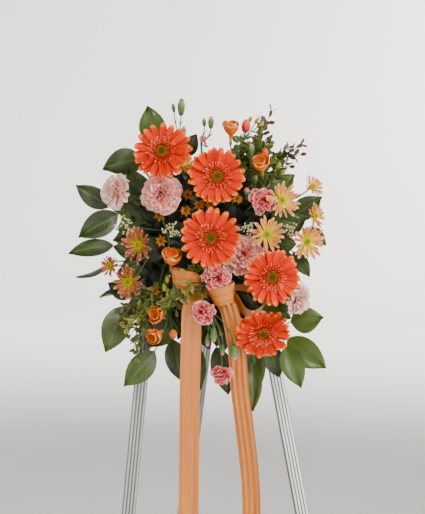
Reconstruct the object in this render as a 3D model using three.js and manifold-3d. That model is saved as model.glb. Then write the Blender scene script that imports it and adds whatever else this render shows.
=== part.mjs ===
// A standing funeral spray: cut flowers and foliage in a caged block of floral foam, with a ribbon
// bow, hung on a folding steel easel. Millimetres, +Z up, the front of the spray looks along -Y.
// The flowers are laid out round a point O in front of the foam, at the height of its centre.
import * as THREE from "three";
import { mergeVertices } from "three/addons/utils/BufferGeometryUtils.js";
import Module from "manifold-3d";

const wasm = await Module();
wasm.setup();

const degrees = THREE.MathUtils.degToRad;
const vec = (x, y, z) => new THREE.Vector3(x, y, z);

// Driving dimensions
const CLEARANCE = 0.35; // between pieces that touch, and round a stem or a pin in its hole
const FLOOR_BELOW_O = 1080;
const VIEWER = { distance: 2600, rise: degrees(4) }; // from here the flowers are laid out
const FOCUS = vec(16, 150, -2); // the point in the foam that every stem aims at
const STEM_IN_FOAM = 27; // how far from the focus a stem starts
const BEYOND_CAGE = 6; // how far past the foam a stem still runs straight

const EASEL = {
  turn: degrees(13), // the easel stands turned to the viewer's right
  lean: degrees(12), // of its front frame, backwards
  backLean: degrees(27), // of its back leg, backwards from the vertical
  splay: 0.138, // of each front leg, sideways for each unit down the frame
  centre: vec(7.5, 185, 0), // the frame's middle line at O's height
  halfWidthAtO: 100.6,
  topBar: 138, // heights along the leaning frame, from O
  hingeBar: -162,
  legTop: 172,
};
const LEG = { width: 25, flange: 9, sheet: 1.2, ribs: 4, ribWidth: 4.2, ribHeight: 1.7 };
const BAR = { height: 20, thickness: 2, overhang: 15 };
const RIVET = { radius: 2.4, headRadius: 4.4, headHeight: 1.2 };
const HINGE = { pinRadius: 2.5, pinHead: 4.5, headHeight: 2, ear: 2, earHeight: 18, legAbovePin: 7 };
const FOAM = { width: 110, height: 230, depth: 80, centre: -10 };
const CAGE = { wall: 2, rim: 16, bar: 3, columns: 2, rows: 5, tab: 34, tabEnd: -174 };
const TIE = { radius: 0.8, x: 6, hole: 1.7, holeHeight: -148 };

const GERBERA = 53; // radii of the open heads
const CARNATION = 38;
const BERRY = 4.5;
const RIBBON = { width: 38, thickness: 0.8 };
const KNOT = { radius: 10, height: 26 };
const TAIL_BLOCK = 4.5; // how thick the tails are where they are gathered behind the knot
const LEAF_THICKNESS = 0.8;

// Small tools

// The point that the viewer sees x right of O and z above it, and that stands `forward` in front
// of the plane through O that faces the viewer.
function seen([x, z, forward]) {
  const ahead = vec(0, -Math.cos(VIEWER.rise), Math.sin(VIEWER.rise));
  const up = vec(0, Math.sin(VIEWER.rise), Math.cos(VIEWER.rise));
  const eye = ahead.clone().multiplyScalar(VIEWER.distance);
  const onPlane = vec(x, 0, 0).addScaledVector(up, z);
  return onPlane.sub(eye).multiplyScalar(1 - forward / VIEWER.distance).add(eye);
}

// The unit vector that looks `yaw` degrees to the right of the front and `pitch` degrees up.
function looking([yaw, pitch]) {
  const level = Math.cos(degrees(pitch));
  return vec(Math.sin(degrees(yaw)) * level, -Math.cos(degrees(yaw)) * level, Math.sin(degrees(pitch)));
}

const at = (x, y, z) => new THREE.Matrix4().makeTranslation(x, y, z);

// The placement that sets a shape's own +Z along `direction` at `place`, turned about it by `roll`.
function standing(place, direction, roll = 0) {
  const z = direction.clone().normalize();
  const level = Math.abs(z.z) > 0.95 ? vec(0, 1, 0) : vec(0, 0, 1);
  const x = level.cross(z).normalize();
  const y = z.clone().cross(x);
  const basis = new THREE.Matrix4().makeBasis(x, y, z).setPosition(place);
  return basis.multiply(new THREE.Matrix4().makeRotationZ(roll));
}

// A closed three.js geometry as a solid, set where `matrix` puts it.
function solidOf(geometry, matrix = new THREE.Matrix4()) {
  const loose = geometry.index ? geometry.toNonIndexed() : geometry;
  const bare = new THREE.BufferGeometry().setAttribute("position", loose.getAttribute("position").clone());
  const merged = mergeVertices(bare.applyMatrix4(matrix), 1e-3);
  const corners = [];
  for (let i = 0; i < merged.index.count; i += 3) {
    const [a, b, c] = [0, 1, 2].map((k) => merged.index.getX(i + k));
    if (a !== b && b !== c && c !== a) corners.push(a, b, c);
  }
  const vertProperties = merged.getAttribute("position").array;
  const build = (list) =>
    new wasm.Manifold(new wasm.Mesh({ numProp: 3, vertProperties, triVerts: new Uint32Array(list) }));
  const made = build(corners);
  return made.volume() < 0 ? build(corners.reverse()) : made;
}

const join = (solids) => wasm.Manifold.union(solids);
const placed = (solid, matrix) => solid.transform(matrix.elements);
const largest = (solid) => solid.decompose().sort((a, b) => b.volume() - a.volume())[0];

// A box between two corners.
function between([x0, y0, z0], [x1, y1, z1]) {
  const box = new THREE.BoxGeometry(x1 - x0, y1 - y0, z1 - z0);
  return solidOf(box, at((x0 + x1) / 2, (y0 + y1) / 2, (z0 + z1) / 2));
}

// A turned solid along its own +Z, from [radius, height] pairs that start and end on the axis.
function turned(profile, segments) {
  const lathe = new THREE.LatheGeometry(profile.map(([r, h]) => new THREE.Vector2(r, h)), segments);
  return solidOf(lathe.rotateX(Math.PI / 2));
}

// Lofts: closed solids through loops of points. A loop's point is { p, u }, its place and its share of
// the way round, and the next loop may have another number of points.

// A loop of few sides round `centre`, anticlockwise as seen against `along`.
function ringOf(sides, radius, centre, along, across) {
  const other = along.clone().cross(across);
  return Array.from({ length: sides }, (_, i) => {
    const [u, turn] = [i / sides, (i / sides) * 2 * Math.PI];
    const p = centre.clone().addScaledVector(across, radius * Math.cos(turn));
    return { p: p.addScaledVector(other, radius * Math.sin(turn)), u };
  });
}

function loft(loops) {
  const faces = [];
  const face = (a, b, c) => a !== b && b !== c && c !== a && faces.push(a, b, c);
  let base = 0;
  for (let k = 0; k + 1 < loops.length; k++) {
    const [low, high] = [loops[k], loops[k + 1]];
    const next = base + low.length;
    const after = (loop, i) => (i + 1 < loop.length ? loop[i + 1].u : loop[0].u + 1);
    for (let i = 0, j = 0; i < low.length || j < high.length; ) {
      const [a, b] = [base + (i % low.length), next + (j % high.length)];
      if (j >= high.length || (i < low.length && after(low, i) <= after(high, j))) {
        i += 1;
        face(a, base + (i % low.length), b);
      } else {
        j += 1;
        face(a, next + (j % high.length), b);
      }
    }
    base = next;
  }
  const last = loops[loops.length - 1];
  for (let i = 1; i + 1 < loops[0].length; i++) face(0, i + 1, i);
  for (let i = 1; i + 1 < last.length; i++) face(base, base + i, base + i + 1);
  return solidOf(new THREE.BufferGeometry().setFromPoints(loops.flat().map(({ p }) => p)).setIndex(faces));
}

// Loops along a route of points, with a radius at each, that end with `across` as their first side.
function along(points, radii, sides, across) {
  const loops = [];
  let side = across.clone();
  for (let i = points.length - 1; i >= 0; i--) {
    const ahead = points[Math.min(i + 1, points.length - 1)].clone().sub(points[Math.min(i, points.length - 2)]);
    const behind = points[Math.max(i, 1)].clone().sub(points[Math.max(i - 1, 0)]);
    const tangent = ahead.normalize().add(behind.normalize()).normalize();
    side.addScaledVector(tangent, -side.dot(tangent)).normalize();
    loops.unshift(ringOf(sides, radii[i], points[i], tangent, side));
  }
  return loops;
}

// A unit vector across `direction`, and the one that a placement sets along its own +X.
const anyAcross = (direction) =>
  (Math.abs(direction.z) > 0.9 ? vec(0, 1, 0) : vec(0, 0, 1)).cross(direction).normalize();
const acrossOf = (matrix) => vec(0, 0, 0).setFromMatrixColumn(matrix, 0);

// A straight rod of few sides.
const rod = (from, to, radius, sides = 4) =>
  loft(along([from, to], [radius, radius], sides, anyAcross(to.clone().sub(from).normalize())));

const moved = (loops, matrix) =>
  loops.map((loop) => loop.map(({ p, u }) => ({ p: p.clone().applyMatrix4(matrix), u })));

// Loops of flower heads, round their own +Z

const ngon = (sides, radius, z) => ringOf(sides, radius, vec(0, 0, z), vec(0, 0, 1), vec(1, 0, 0));
const pole = (z) => [{ p: vec(0, 0, z), u: 0 }];

// A loop that goes in and out, and up and down, from point to point.
const zigzag = (count, radius, z, inOut, upDown) => ngon(count, 1, 0).map(({ p, u }, i) => {
  const sign = i % 2 ? 1 : -1;
  return { p: p.multiplyScalar(radius + sign * inOut).setZ(z + sign * upDown), u };
});

// A layer of petals: loops from the neck out to the petals' rim and back. Each petal widens from its
// notch to two shoulders, or runs to one point. Its foot is at `foot` and its end `rise` above that.
function petals(count, radius, { neck, foot = 0, rise = 5, power = 1.5, notch = 0.42, spread = 0.32,
  pointed = false, ruffle = 0, phase = 0.3, uneven = 0.05, thickness = 1 }) {
  const rim = [];
  const inner = [];
  const point = (u, r, lift) => {
    const turn = 2 * Math.PI * u;
    return { p: vec(r * Math.cos(turn), r * Math.sin(turn), foot + rise * (r / radius) ** power + lift), u };
  };
  for (let k = 0; k < count; k++) {
    const reach = radius * (1 - uneven * (1 + Math.sin(k * 2.4)) / 2);
    const start = (k + phase) / count;
    inner.push(point(start, neck, 0));
    rim.push(point(start, notch * radius, 0));
    if (pointed) rim.push(point(start + 0.5 / count, reach, ruffle * (k % 2 ? 1 : -1)));
    else
      rim.push(
        point(start + (0.5 - spread) / count, reach, ruffle),
        point(start + (0.5 + spread) / count, reach, -ruffle),
      );
  }
  const raised = (loop, lift) => loop.map(({ p, u }) => ({ p: p.clone().setZ(p.z + lift), u }));
  return [raised(inner, -0.8), rim, raised(rim, thickness), raised(inner, thickness + 0.5)];
}

const CARNATION_PETALS = { notch: 0.6, spread: 0.39, uneven: 0.1 };

const HEADS = {
  gerbera: (radius) => [
    ngon(6, 8, -6),
    ...petals(12, radius, { neck: 8, foot: -1, rise: 5, spread: 0.34 }),
    ...petals(10, 0.78 * radius, { neck: 9, foot: 3, rise: 9, pointed: true, notch: 0.5, phase: 0 }),
    zigzag(10, 0.3 * radius, 13, 2.5, 1.5), ngon(5, 8, 11), pole(9),
  ],
  carnation: (radius) => {
    const s = radius / CARNATION;
    return [
      ngon(6, 7 * s, -5 * s),
      ...petals(8, radius, { ...CARNATION_PETALS, neck: 8 * s, foot: -2 * s, rise: 4 * s, ruffle: 2 * s }),
      ...petals(7, 0.86 * radius, { ...CARNATION_PETALS, neck: 10 * s, foot: 4 * s, rise: 10 * s, phase: 0 }),
      zigzag(12, 22 * s, 19 * s, 3 * s, 3 * s), zigzag(8, 12 * s, 25 * s, 3 * s, -2 * s), pole(21 * s),
    ];
  },
  mini: (radius) => {
    const s = radius / 25;
    return [
      ngon(4, 2.2, -17 * s), ngon(4, 5.5 * s, -6 * s),
      ...petals(6, radius, { ...CARNATION_PETALS, neck: 5.5 * s, foot: -1, rise: 4 * s, ruffle: 1.6 * s }),
      ...petals(5, 0.78 * radius, { ...CARNATION_PETALS, neck: 7 * s, foot: 4 * s, rise: 8 * s, phase: 0 }),
      zigzag(8, 11 * s, 16 * s, 2 * s, 2.5 * s), pole(15 * s),
    ];
  },
  mum: (radius) => [
    ngon(4, 3, -5),
    ...petals(9, radius, { neck: 0.2 * radius, rise: 0.22 * radius, notch: 0.36, uneven: 0.12 }),
    ngon(6, 0.26 * radius, 5), pole(7.5),
  ],
  button: (radius) => [
    ngon(4, 2, -3),
    ...petals(6, radius, { neck: 0.3 * radius, rise: 4, notch: 0.6, pointed: true }),
    ngon(4, 0.4 * radius, 5), pole(7),
  ],
  freesia: (radius) => [
    ngon(4, 1.8, -0.9 * radius), ngon(4, 3.6, 0),
    ...petals(6, radius, { neck: 4, foot: 2, rise: 1.4 * radius, power: 0.8, notch: 0.6, spread: 0.36, uneven: 0.12,
      thickness: 1.6 }),
    pole(0.5 * radius),
  ],
  bud: (radius, length) => [
    ngon(4, 0.6 * radius, 0), ngon(5, radius, 0.42 * length), ngon(5, 0.5 * radius, 0.84 * length), pole(length),
  ],
  berry: (radius) => [ngon(4, radius, 0), pole(radius)],
};

// Stems

const holes = []; // what the stems take out of the foam and its cage

// Where a stem that aims at `target` starts in the foam, and where it is clear of the cage.
function wayOut(target) {
  const direction = target.clone().sub(FOCUS);
  const distance = direction.length();
  direction.normalize();
  const box = new THREE.Box3(vec(...FOAM_LOW), vec(...FOAM_HIGH));
  const ray = new THREE.Ray(FOCUS.clone(), direction.clone()).applyMatrix4(EASEL_PLACE.clone().invert());
  const edge = ray.intersectBox(box, vec(0, 0, 0)).applyMatrix4(EASEL_PLACE).distanceTo(FOCUS);
  const out = Math.min(edge + BEYOND_CAGE, 0.9 * distance);
  return [STEM_IN_FOAM, out].map((reach) => FOCUS.clone().addScaledVector(direction, reach));
}

// The loops of a stem of four sides from the foam through `bend` to `end`, which ends with `across`
// as its first side, and its hole. Without a bend it's straight.
function stemLoops(end, radius, { across, bend } = {}) {
  const [start, out] = wayOut(bend ?? end);
  const curve = bend ? [out, new THREE.QuadraticBezierCurve3(out, bend, end).getPoint(0.5)] : [];
  const route = [start, ...curve, end];
  const last = end.clone().sub(route[route.length - 2]).normalize();
  const loops = along(route, route.map(() => radius), 4, across ?? anyAcross(last));
  const inward = start.clone().sub(out).setLength(CLEARANCE);
  const hole = [start.clone().add(inward), out.clone().sub(inward.clone().setLength(BEYOND_CAGE))];
  const wide = radius + 1.25 * CLEARANCE;
  const direction = out.clone().sub(start).normalize();
  const side = loops[0][0].p.clone().sub(start).normalize();
  holes.push(loft(hole.map((p) => ringOf(4, wide, p, direction, side))));
  return loops;
}

// A head of one body with its stalk, which comes from `from` and arrives from behind.
function stalked(from, { kind, place, face, size, length }, radius) {
  const [point, direction] = [seen(place), looking(face)];
  const matrix = standing(point, direction, point.x + point.z);
  const head = moved(HEADS[kind](size, length), matrix);
  const foot = head[0].reduce((sum, { p }) => sum.add(p), vec(0, 0, 0)).divideScalar(head[0].length);
  const end = foot.clone().addScaledVector(direction, -2);
  const bend = end.clone().addScaledVector(direction, -0.35 * end.distanceTo(from));
  const half = new THREE.QuadraticBezierCurve3(from, bend, end).getPoint(0.5);
  return loft([...along([from, half, end], [radius, radius, radius], 4, acrossOf(matrix)), ...head]);
}

// Several heads on stalks from one stem, which forks at `fork`.
function spray({ fork, heads }) {
  const end = seen(fork);
  const past = end.clone().addScaledVector(end.clone().sub(FOCUS).normalize(), 2);
  const main = loft(stemLoops(past, 1.9));
  return join([main, ...heads.map((head) => stalked(end, head, head.kind === "bud" ? 1 : 1.3))]);
}

// A leafy stem: pairs of small leaves that turn by a right angle each time, on a stem through `path`.
function leafyStem({ path, pairs, length, width }) {
  const [from, by, to] = path.map(seen);
  const curve = new THREE.QuadraticBezierCurve3(from, by, to);
  const side = vec(1, 0, 0);
  const loops = stemLoops(from.clone().lerp(FOCUS, 0.05), 1.6, { across: side });
  for (let i = 0; i < pairs; i++) {
    const t = i / (pairs - 0.6);
    const [foot, tangent] = [curve.getPoint(t), curve.getTangent(t)];
    side.addScaledVector(tangent, -side.dot(tangent)).normalize();
    const other = tangent.clone().cross(side);
    const turn = degrees(90 * (i % 2) + 35);
    const [reach, half] = [length * (1.08 - 0.4 * t), (width / 2) * (1.05 - 0.3 * t)];
    const point = (radial, sideways, up, u) => {
      const outward = side.clone().multiplyScalar(Math.cos(turn)).addScaledVector(other, Math.sin(turn));
      const past = tangent.clone().cross(outward);
      return { p: foot.clone().addScaledVector(outward, radial).addScaledVector(past, sideways).addScaledVector(tangent, up), u };
    };
    const rim = [
      point(0.45 * reach, -half, 0.2 * reach, 0), point(reach, 0, 0.62 * reach, 0.12),
      point(0.45 * reach, half, 0.2 * reach, 0.24), point(0, 1.6, 0, 0.3),
      point(-0.45 * reach, half, 0.2 * reach, 0.5), point(-reach, 0, 0.62 * reach, 0.62),
      point(-0.45 * reach, -half, 0.2 * reach, 0.74), point(0, -1.6, 0, 0.8),
    ];
    const neck = [point(1.2, -1.2, 0, 0.02), point(1.2, 1.2, 0, 0.22), point(-1.2, 1.2, 0, 0.52), point(-1.2, -1.2, 0, 0.72)];
    const raised = (loop, lift) => loop.map(({ p, u }) => ({ p: p.clone().addScaledVector(tangent, lift), u }));
    loops.push(raised(neck, -0.8), rim, raised(rim, LEAF_THICKNESS), raised(neck, LEAF_THICKNESS + 0.6));
  }
  loops.push([{ p: to.clone().addScaledVector(curve.getTangent(1), 4), u: 0 }]);
  return loft(loops);
}

// Bunches of round buds: near each bunch's place, short stalks fan out to the front.
function berries({ fork, bunches }) {
  const end = seen(fork);
  const solids = [loft(stemLoops(end, 1.7))];
  for (const { place, count, spread } of bunches) {
    const centre = seen(place);
    const twig = (share) => end.clone().lerp(centre, share);
    solids.push(rod(end, twig(0.88), 1.3));
    for (let i = 0; i < count; i++) {
      const turn = i * 2.4;
      const reach = spread * Math.sqrt((i + 0.3) / count);
      const tip = centre.clone().add(vec(Math.cos(turn) * reach, 4 * Math.sin(3 * i), Math.sin(turn) * reach));
      const foot = twig(0.86 - (0.3 * i) / count);
      const direction = tip.clone().sub(foot).normalize();
      const matrix = standing(tip, direction);
      const under = tip.clone().addScaledVector(direction, -BERRY);
      const stalk = along([foot, under], [0.8, 0.9], 3, acrossOf(matrix));
      solids.push(loft([...stalk, ...moved(HEADS.berry(BERRY), matrix)]));
    }
  }
  return join(solids);
}

// A leaf on a stalk that comes from `from`: an arched blade from `base` to `tip`, folded up along its
// midrib. It faces the viewer, turned about its own length by `roll`.
function leaf(from, { base, tip, width, roll = 0, arch = 0.1 }) {
  const [foot, end] = [seen(base), seen(tip)];
  const y = end.clone().sub(foot);
  const length = y.length();
  y.normalize();
  const z = vec(0, -1, 0).addScaledVector(y, y.y).normalize().applyAxisAngle(y, degrees(roll));
  const x = y.clone().cross(z);
  const point = (side, share, lift, u) => {
    const p = foot.clone().addScaledVector(y, share * length).addScaledVector(x, side);
    return { p: p.addScaledVector(z, lift + arch * length * Math.sin(Math.PI * share)), u };
  };
  const blade = [[0.24, 0.84], [0.52, 1], [0.8, 0.62]].map(([share, wide]) => {
    const half = (wide * width) / 2;
    const rib = -0.22 * half;
    const t = LEAF_THICKNESS;
    return [
      point(0, share, rib, 0), point(half, share, 0, 0.17), point(half, share, -t, 0.33),
      point(0, share, rib - t, 0.5), point(-half, share, -t, 0.67), point(-half, share, 0, 0.83),
    ];
  });
  const stalk = along([from, foot], [1.3, 1.3], 3, z);
  return loft([...stalk, ...blade, [point(0, 1, 0, 0)]]);
}

// Leaves on one woody stem that ends at `end`; each stalk leaves the stem at the share `from`.
function leafBranch({ end, leaves }) {
  const tip = seen(end);
  const place = (share) => FOCUS.clone().lerp(tip, share - 0.02);
  return join([loft(stemLoops(tip, 2.2)), ...leaves.map((row) => leaf(place(row.from ?? 0.98), row))]);
}

// Ribbon sheets

// Closes a thin sheet: its points are one face, and each is moved back along its normal on the other.
function thickened({ points, normals, triangles, rim }, thickness) {
  const count = points.length;
  const backs = points.map((p, i) => p.clone().addScaledVector(normals[i], -thickness));
  const faces = [];
  for (const [a, b, c] of triangles) faces.push(a, b, c, c + count, b + count, a + count);
  rim.forEach((a, i) => {
    const b = rim[(i + 1) % rim.length];
    faces.push(a, a + count, b, b, a + count, b + count);
  });
  return solidOf(new THREE.BufferGeometry().setFromPoints([...points, ...backs]).setIndex(faces));
}

// A strip through rows of points, each row with the same number of them.
function strip(rows, normals, thickness) {
  const columns = rows[0].length;
  const id = (i, j) => i * columns + j;
  const triangles = [];
  for (let i = 0; i + 1 < rows.length; i++)
    for (let j = 0; j + 1 < columns; j++)
      triangles.push([id(i, j), id(i, j + 1), id(i + 1, j + 1)], [id(i, j), id(i + 1, j + 1), id(i + 1, j)]);
  const last = rows.length - 1;
  const rim = [
    ...rows[0].map((_, j) => id(0, j)),
    ...rows.slice(1, -1).map((_, i) => id(i + 1, columns - 1)),
    ...rows[last].map((_, j) => id(last, columns - 1 - j)),
    ...rows.slice(1, -1).map((_, i) => id(last - 1 - i, 0)),
  ];
  return thickened({ points: rows.flat(), normals: normals.flat(), triangles, rim }, thickness);
}

// Layout: every place is [x, z, forward] as seen() takes it, and every face is [yaw, pitch]

const GERBERAS = [
  { place: [-70, 190, 0], face: [-8, 22] },
  { place: [31, 144, 8], face: [5, 4] },
  { place: [20, 30, 22], face: [0, 0] },
  { place: [133, -43, 12], face: [8, -4] },
  { place: [116, -146, 4], face: [4, -28] },
];
const CARNATIONS = [
  { place: [-71, 111, -14], face: [-6, 4] },
  { place: [-155, 120, -34], face: [-52, 12] },
  { place: [79, -2, -40], face: [10, -6] },
  { place: [176, -83, -34], face: [60, -8] },
];
const MINI_SPRAYS = [
  { fork: [-40, 215, -70], heads: [
    { kind: "bud", place: [-35, 256, -50], face: [10, 80], size: 7.4, length: 33 },
    { kind: "bud", place: [-48, 262, -58], face: [-30, 76], size: 4, length: 18 },
    { kind: "bud", place: [-31, 218, -38], face: [15, 70], size: 5, length: 20 },
  ] },
  { fork: [2, 205, -86], heads: [
    { kind: "bud", place: [20, 232, -40], face: [10, 80], size: 6, length: 24 },
    { kind: "bud", place: [8, 236, -52], face: [-10, 78], size: 4.4, length: 17 },
    { kind: "mini", place: [8, 209, -34], face: [-20, 40], size: 12 },
  ] },
  { fork: [102, 96, -66], heads: [
    { kind: "mini", place: [115, 98, -28], face: [12, 10], size: 25 },
    { kind: "bud", place: [88, 106, -40], face: [-12, 50], size: 6.5, length: 22 },
    { kind: "bud", place: [100, 130, -50], face: [20, 60], size: 5, length: 20 },
  ] },
  { fork: [36, -30, -50], heads: [{ kind: "mini", place: [31, -42, 18], face: [-6, 30], size: 25 }] },
  { fork: [16, -101, -24], heads: [
    { kind: "mini", place: [6, -107, 14], face: [-26, -6], size: 23 },
    { kind: "bud", place: [25, -136, -8], face: [0, -78], size: 7, length: 28 },
    { kind: "bud", place: [15, -148, -14], face: [-20, -80], size: 5.5, length: 24 },
    { kind: "mini", place: [40, -222, -12], face: [-6, -46], size: 22 },
    { kind: "bud", place: [62, -166, -2], face: [12, -80], size: 8, length: 32 },
    { kind: "bud", place: [42, -168, -10], face: [-10, -80], size: 5, length: 20 },
  ] },
];
const MUM_SPRAYS = [
  { fork: [140, 84, -76], heads: [
    { kind: "mum", place: [151, 100, -34], face: [36, 14], size: 36 },
    { kind: "mum", place: [206, 122, -58], face: [66, 30], size: 28 },
    { kind: "mum", place: [217, 70, -62], face: [44, 0], size: 30 },
  ] },
  { fork: [130, 30, -66], heads: [
    { kind: "mum", place: [124, 36, -18], face: [4, 4], size: 33 },
    { kind: "mum", place: [198, 24, -36], face: [22, 0], size: 34 },
  ] },
  { fork: [-96, -4, -70], heads: [
    { kind: "mum", place: [-116, 18, -26], face: [-34, 0], size: 33 },
    { kind: "mum", place: [-168, -20, -52], face: [-40, 10], size: 18 },
    { kind: "mum", place: [-131, -50, -38], face: [-24, -8], size: 31 },
  ] },
  { fork: [-14, 140, -70], heads: [{ kind: "mum", place: [-29, 162, -34], face: [-20, 52], size: 26 }] },
];
const BUTTON_SPRAYS = [
  { fork: [4, 88, -56], heads: [
    { kind: "button", place: [-22, 109, -26], face: [-10, 10], size: 12 },
    { kind: "button", place: [-26, 80, -22], face: [-8, 4], size: 12 },
    { kind: "button", place: [-2, 91, -14], face: [0, 0], size: 11 },
    { kind: "button", place: [19, 93, -24], face: [8, 0], size: 11 },
    { kind: "button", place: [68, 102, -34], face: [14, 6], size: 12 },
  ] },
  { fork: [-56, 20, -56], heads: [
    { kind: "button", place: [-74, 72, -34], face: [-10, 6], size: 13 },
    { kind: "button", place: [-72, 24, -20], face: [-10, 0], size: 12 },
    { kind: "button", place: [-82, -67, -36], face: [-14, -10], size: 12 },
  ] },
];
const FREESIAS = [
  { fork: [62, 184, -52], heads: [
    { kind: "freesia", place: [57, 212, -28], face: [10, 66], size: 20 },
    { kind: "bud", place: [78, 228, -38], face: [30, 60], size: 5, length: 22 },
    { kind: "bud", place: [92, 238, -44], face: [40, 50], size: 4, length: 18 },
  ] },
  { fork: [108, 148, -50], heads: [
    { kind: "freesia", place: [114, 160, -22], face: [6, 16], size: 20 },
    { kind: "bud", place: [128, 172, -40], face: [50, 40], size: 4.5, length: 22 },
    { kind: "bud", place: [140, 160, -44], face: [70, 20], size: 4, length: 16 },
  ] },
  { fork: [-48, -24, -44], heads: [
    { kind: "freesia", place: [-56, -14, -8], face: [-8, 30], size: 20 },
    { kind: "bud", place: [-63, -46, -28], face: [-20, -60], size: 5, length: 18 },
    { kind: "bud", place: [-66, -52, -36], face: [-50, -50], size: 4, length: 15 },
  ] },
  { fork: [-60, -110, -44], heads: [
    { kind: "freesia", place: [-76, -116, -18], face: [-44, 10], size: 18 },
    { kind: "freesia", place: [-80, -148, -22], face: [-40, -20], size: 17 },
    { kind: "bud", place: [-50, -142, -22], face: [4, -30], size: 7, length: 22 },
    { kind: "bud", place: [-36, -152, -32], face: [20, -50], size: 5, length: 16 },
  ] },
];
const LEAFY_STEMS = [
  { path: [[84, 170, -84], [106, 200, -78], [128, 262, -66]], pairs: 6, length: 19, width: 10 },
  { path: [[126, 170, -90], [150, 186, -84], [184, 204, -72]], pairs: 5, length: 17, width: 9 },
  { path: [[-100, -110, -62], [-112, -140, -56], [-116, -190, -48]], pairs: 6, length: 18, width: 10 },
  { path: [[-34, -62, -54], [-46, -80, -32], [-74, -88, -24]], pairs: 5, length: 18, width: 9 },
];
const BERRY_BUNCHES = [
  { fork: [-76, 44, -74], bunches: [
    { place: [-134, 56, -40], count: 7, spread: 20 },
    { place: [-53, 46, -16], count: 6, spread: 15 },
  ] },
  { fork: [96, 40, -80], bunches: [
    { place: [90, 48, -24], count: 6, spread: 15 },
    { place: [166, 44, -50], count: 6, spread: 15 },
  ] },
  { fork: [33, -9, -58], bunches: [{ place: [45, -22, -10], count: 4, spread: 9 }] },
];
const LEAF_BRANCHES = [
  { end: [-112, 165, -106], leaves: [
    { base: [-80, 204, -100], tip: [-98, 274, -84], width: 52, from: 0.98 },
    { base: [-106, 176, -100], tip: [-181, 159, -80], width: 55, roll: 10 },
    { base: [-30, 180, -104], tip: [-6, 222, -96], width: 33, from: 0.75 },
  ] },
  { end: [-140, 84, -104], leaves: [
    { base: [-96, 96, -88], tip: [-136, 158, -64], width: 48, from: 0.7 },
    { base: [-166, 88, -92], tip: [-231, 126, -78], width: 41, from: 0.98 },
    { base: [-152, 74, -88], tip: [-226, 32, -72], width: 50, from: 0.96 },
  ] },
  { end: [-150, -14, -98], leaves: [
    { base: [-160, 16, -92], tip: [-244, 2, -84], width: 35, from: 0.9, roll: 16 },
    { base: [-166, -16, -92], tip: [-229, -44, -78], width: 26, from: 0.98, roll: -60 },
    { base: [-138, -70, -84], tip: [-187, -80, -72], width: 26, from: 0.8, roll: 60 },
    { base: [-126, -80, -92], tip: [-170, -52, -88], width: 36, from: 0.7 },
  ] },
  { end: [-70, -150, -88], leaves: [
    { base: [-138, -96, -84], tip: [-176, -181, -66], width: 55, from: 0.7 },
    { base: [-84, -180, -78], tip: [-140, -246, -62], width: 50, from: 0.98 },
    { base: [-52, -158, -76], tip: [-32, -237, -60], width: 44, from: 0.94 },
    { base: [-18, -160, -80], tip: [2, -252, -66], width: 42, from: 0.82 },
  ] },
  { end: [92, -190, -84], leaves: [
    { base: [30, -172, -76], tip: [56, -259, -60], width: 44, from: 0.8 },
    { base: [98, -200, -78], tip: [97, -292, -62], width: 36, from: 0.98 },
    { base: [128, -168, -94], tip: [146, -228, -90], width: 41, from: 0.85 },
  ] },
  { end: [158, -140, -92], leaves: [
    { base: [162, -156, -86], tip: [232, -213, -70], width: 55, from: 0.96 },
    { base: [158, -170, -82], tip: [187, -248, -64], width: 46, from: 0.9 },
    { base: [168, -126, -80], tip: [228, -115, -60], width: 52, from: 0.98 },
  ] },
  { end: [172, 60, -108], leaves: [
    { base: [172, 4, -96], tip: [204, -42, -84], width: 30, from: 0.7 },
    { base: [194, 46, -100], tip: [235, 18, -86], width: 33, from: 0.98 },
    { base: [166, 66, -100], tip: [226, 106, -98], width: 44, from: 0.9 },
    { base: [130, 112, -106], tip: [176, 146, -104], width: 41, from: 0.6 },
  ] },
];
const BOW = {
  knot: seen([13, -61, -20]),
  cup: { centre: seen([41, -76, 5]), top: 26.5, bottom: 16, depth: 0.9 },
  leftLoop: [[8, -60, -18], [-14, -38, -14], [-42, -30, -8], [-56, -46, -6], [-42, -64, -10], [-12, -68, -18]],
  rightLoop: [[20, -62, -26], [48, -84, -30], [66, -104, -26], [82, -112, -20], [99, -100, -22],
    [105, -80, -34], [80, -66, -46], [40, -62, -42]],
  leftTail: [vec(-9, 14, -84), vec(-15, 4, -110), vec(-17, 3, -180), vec(-19, 3, -260),
    vec(-20, 3, -340), vec(-21, 3, -430), vec(-22, 3, -520), vec(-23, 3, -600)],
  rightTail: [vec(42, 22, -84), vec(56, 14, -110), vec(69, 13, -180), vec(74, 13, -250),
    vec(84, 13, -330), vec(93, 14, -410), vec(97, 17, -490), vec(93, 21, -560)],
};

// Bow

// A ribbon along `path`, `across` at each of its points, with `ridge` high folds pressed along it.
function ribbon(path, across, { ridge = 0, columns = 1 } = {}) {
  const rows = [];
  const normals = [];
  path.forEach((point, i) => {
    const tangent = path[Math.min(i + 1, path.length - 1)].clone().sub(path[Math.max(i - 1, 0)]).normalize();
    const side = across(tangent, i);
    const normal = tangent.clone().cross(side).normalize();
    const row = Array.from({ length: columns + 1 }, (_, j) =>
      point.clone().addScaledVector(side, RIBBON.width * (j / columns - 0.5)).addScaledVector(normal, ridge * (j % 2)));
    rows.push(row);
    normals.push(row.map(() => normal));
  });
  return strip(rows, normals, RIBBON.thickness);
}

// The side of a ribbon that keeps as near to `wish` as its path lets it.
const nearTo = (wish) => (tangent) => wish.clone().addScaledVector(tangent, -wish.dot(tangent)).normalize();

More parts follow.
